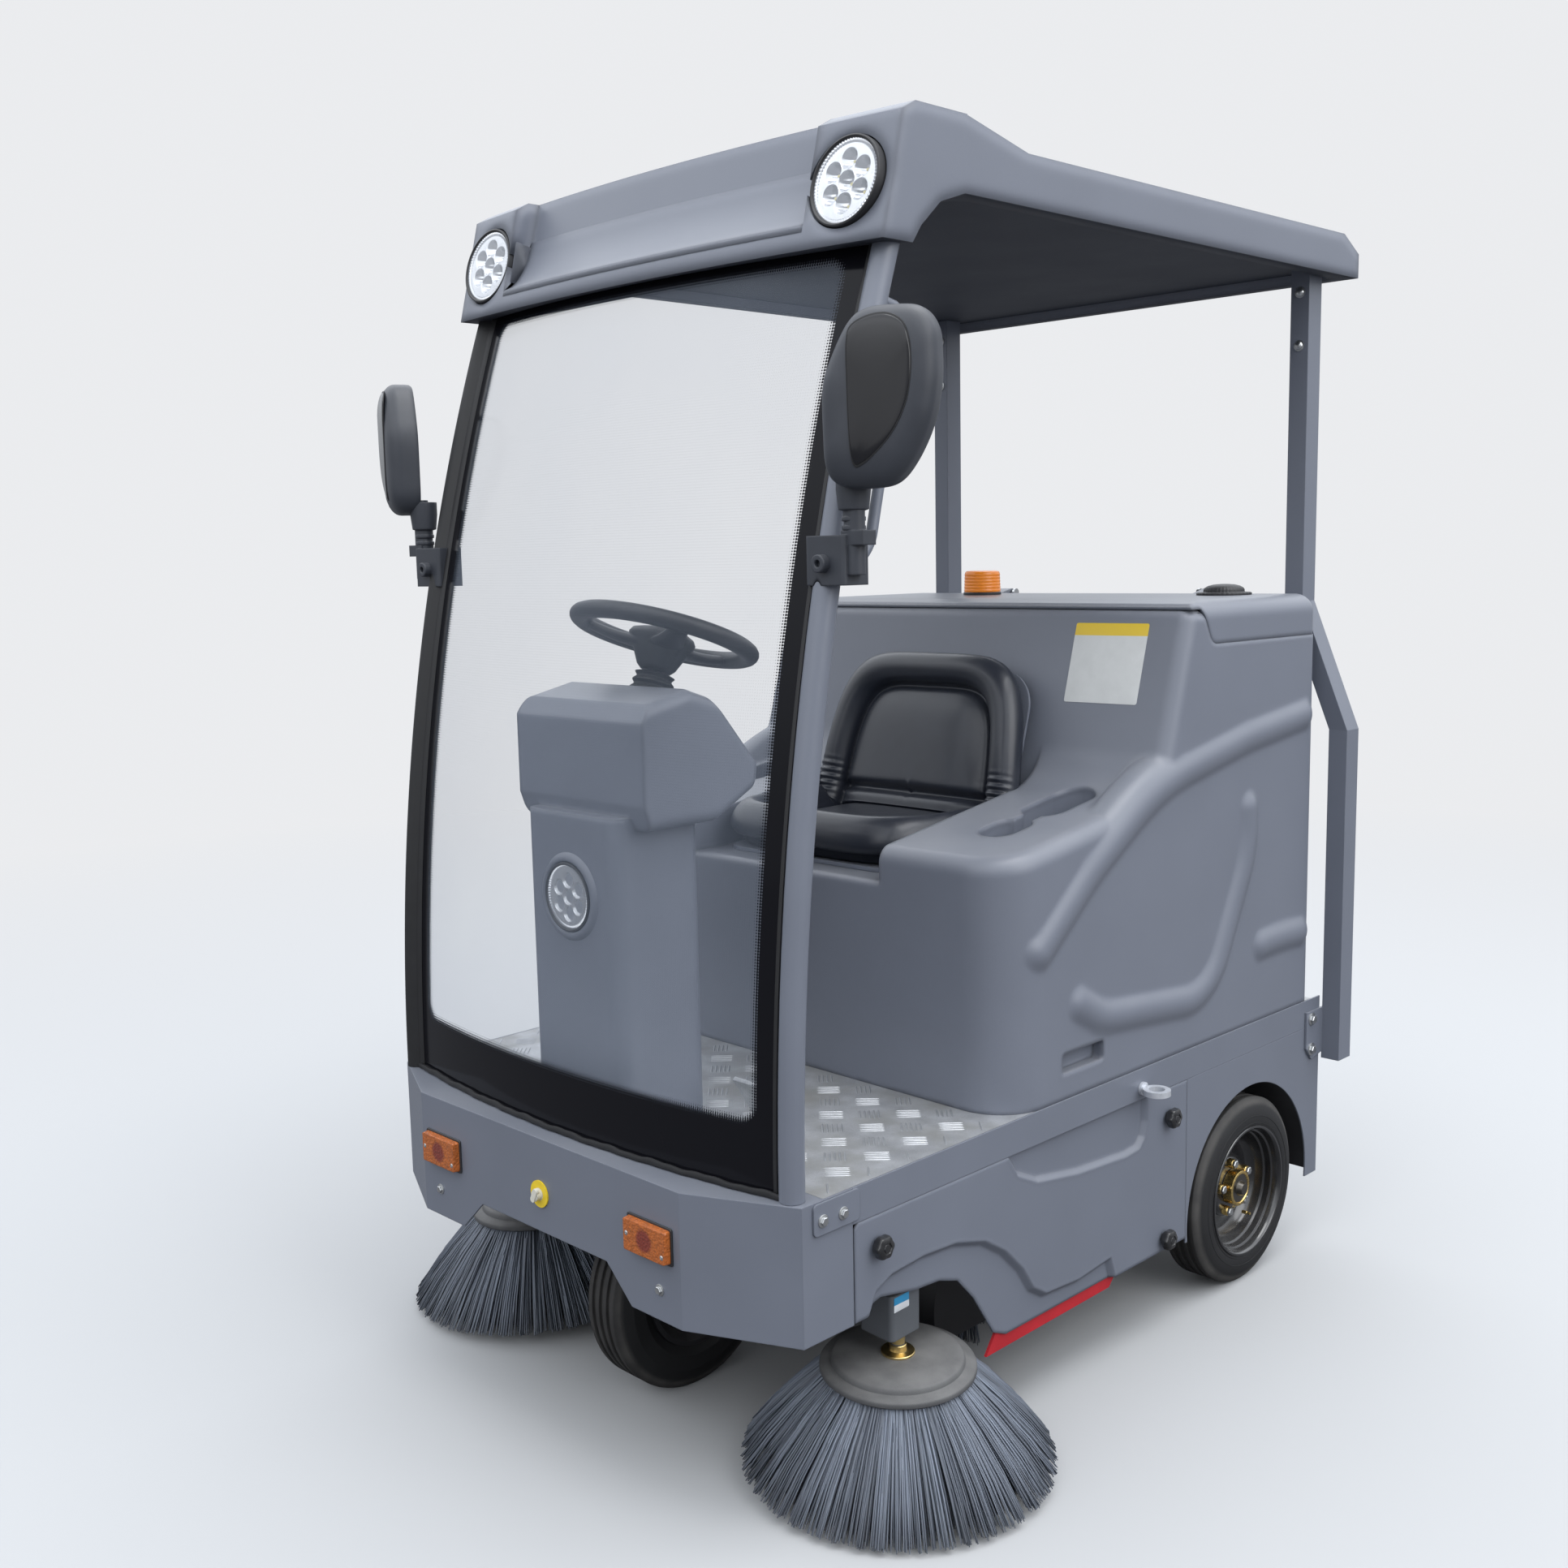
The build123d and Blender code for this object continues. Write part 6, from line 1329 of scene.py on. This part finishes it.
def on_head(side, line, height):
    """Places of a mirror's plane, u outwards and v up, at a height above it."""
    out = np.array((side * sin(mirror_turn), -cos(mirror_turn), 0.0))
    outward = np.array((side * cos(mirror_turn), sin(mirror_turn), 0.0))
    spot = np.array((side * mirror_x, mirror_y, mirror_z))
    height = np.broadcast_to(height, len(line))[:, None]
    return spot + line[:, :1] * outward + line[:, 1:] * (0, 0, 1) + height * out


def on_inset(side, size, lift):
    """A ring of the inset at a share of its size, on the head's front and lifted off it."""
    line = inset_middle + (inset_line - inset_middle) * size
    share = np.max(np.abs(line) / head_half, axis=1)
    return on_head(side, line, head_bulge(np.clip(share * 0.97, 0, 1)) + lift)


head_rows = [
    (0.0, -0.024), (0.90, -0.024), (0.905, -0.0275), (0.975, -0.0275), (0.995, -0.024), (1.0, -0.016),
]
front_sizes = (1.0, 0.996, 0.985, 0.965, 0.93, 0.88, 0.8, 0.65, 0.45, 0.2, 0.0)
head_rows += [(size, head_bulge(size)) for size in front_sizes]
seam_rows = [(1.035, -0.001), (1.03, 0.0004), (0.98, 0.0004), (0.975, -0.001)]
inset_rows = [(1.0, -0.001), (1.0, 0.0006), (0.985, 0.0014)]
inset_rows += [(size, 0.0016) for size in (0.95, 0.85, 0.65, 0.4, 0.15, 0.0)]
neck_profile = [
    (0, -76), (15, -76), (15, -62), (16.5, -61), (16.5, -56), (14, -55), (14, -50), (16.5, -49),
    (16.5, -44), (15, -43), (15, -36), (21, -34), (24, -8), (24, 14), (0, 14),
]
lug_profile = [(0, -14), (12.5, -14), (12.5, 5), (11.5, 6), (5.6, 6), (5, 5), (5, -2), (0, -2)]
neck_x, neck_y, neck_z = 0.530, aft(185.5), mirror_z - 0.110
lug_x, lug_y, lug_z = 0.492, aft(157), 1.404
for side, label in hands:
    head = np.array([on_head(side, head_line * size, height) for size, height in head_rows])
    name, solid_head = f"shaped_mirror_head_{label}", f"mirror_head_{label}"
    fitted(name, [head], mirror_grey, "chassis", "mirror_plastic", solid_head, sharp=40)
    pane = np.array([on_head(side, head_line * size, -0.0246) for size in (0.895, 0.0)])
    seam = np.array([on_inset(side, *row) for row in seam_rows])
    inset = np.array([on_inset(side, *row) for row in inset_rows])
    neck = lathe(neck_profile, (side * neck_x, neck_y, neck_z), (0, 0, 1), 32)
    lug = lathe(lug_profile, (side * lug_x, lug_y, lug_z), (0, -1, 0), 24)
    for name, grid, material in (
        ("mirror_pane", pane, mirror_glass), ("inset_seam", seam, rubber),
        ("gloss_inset", inset, inset_gloss), ("mirror_neck", neck, mirror_grey),
        ("clamp_lug", lug, mirror_grey),
    ):
        fitted(f"{name}_{label}", [grid], material, "chassis", "mirror_plastic")
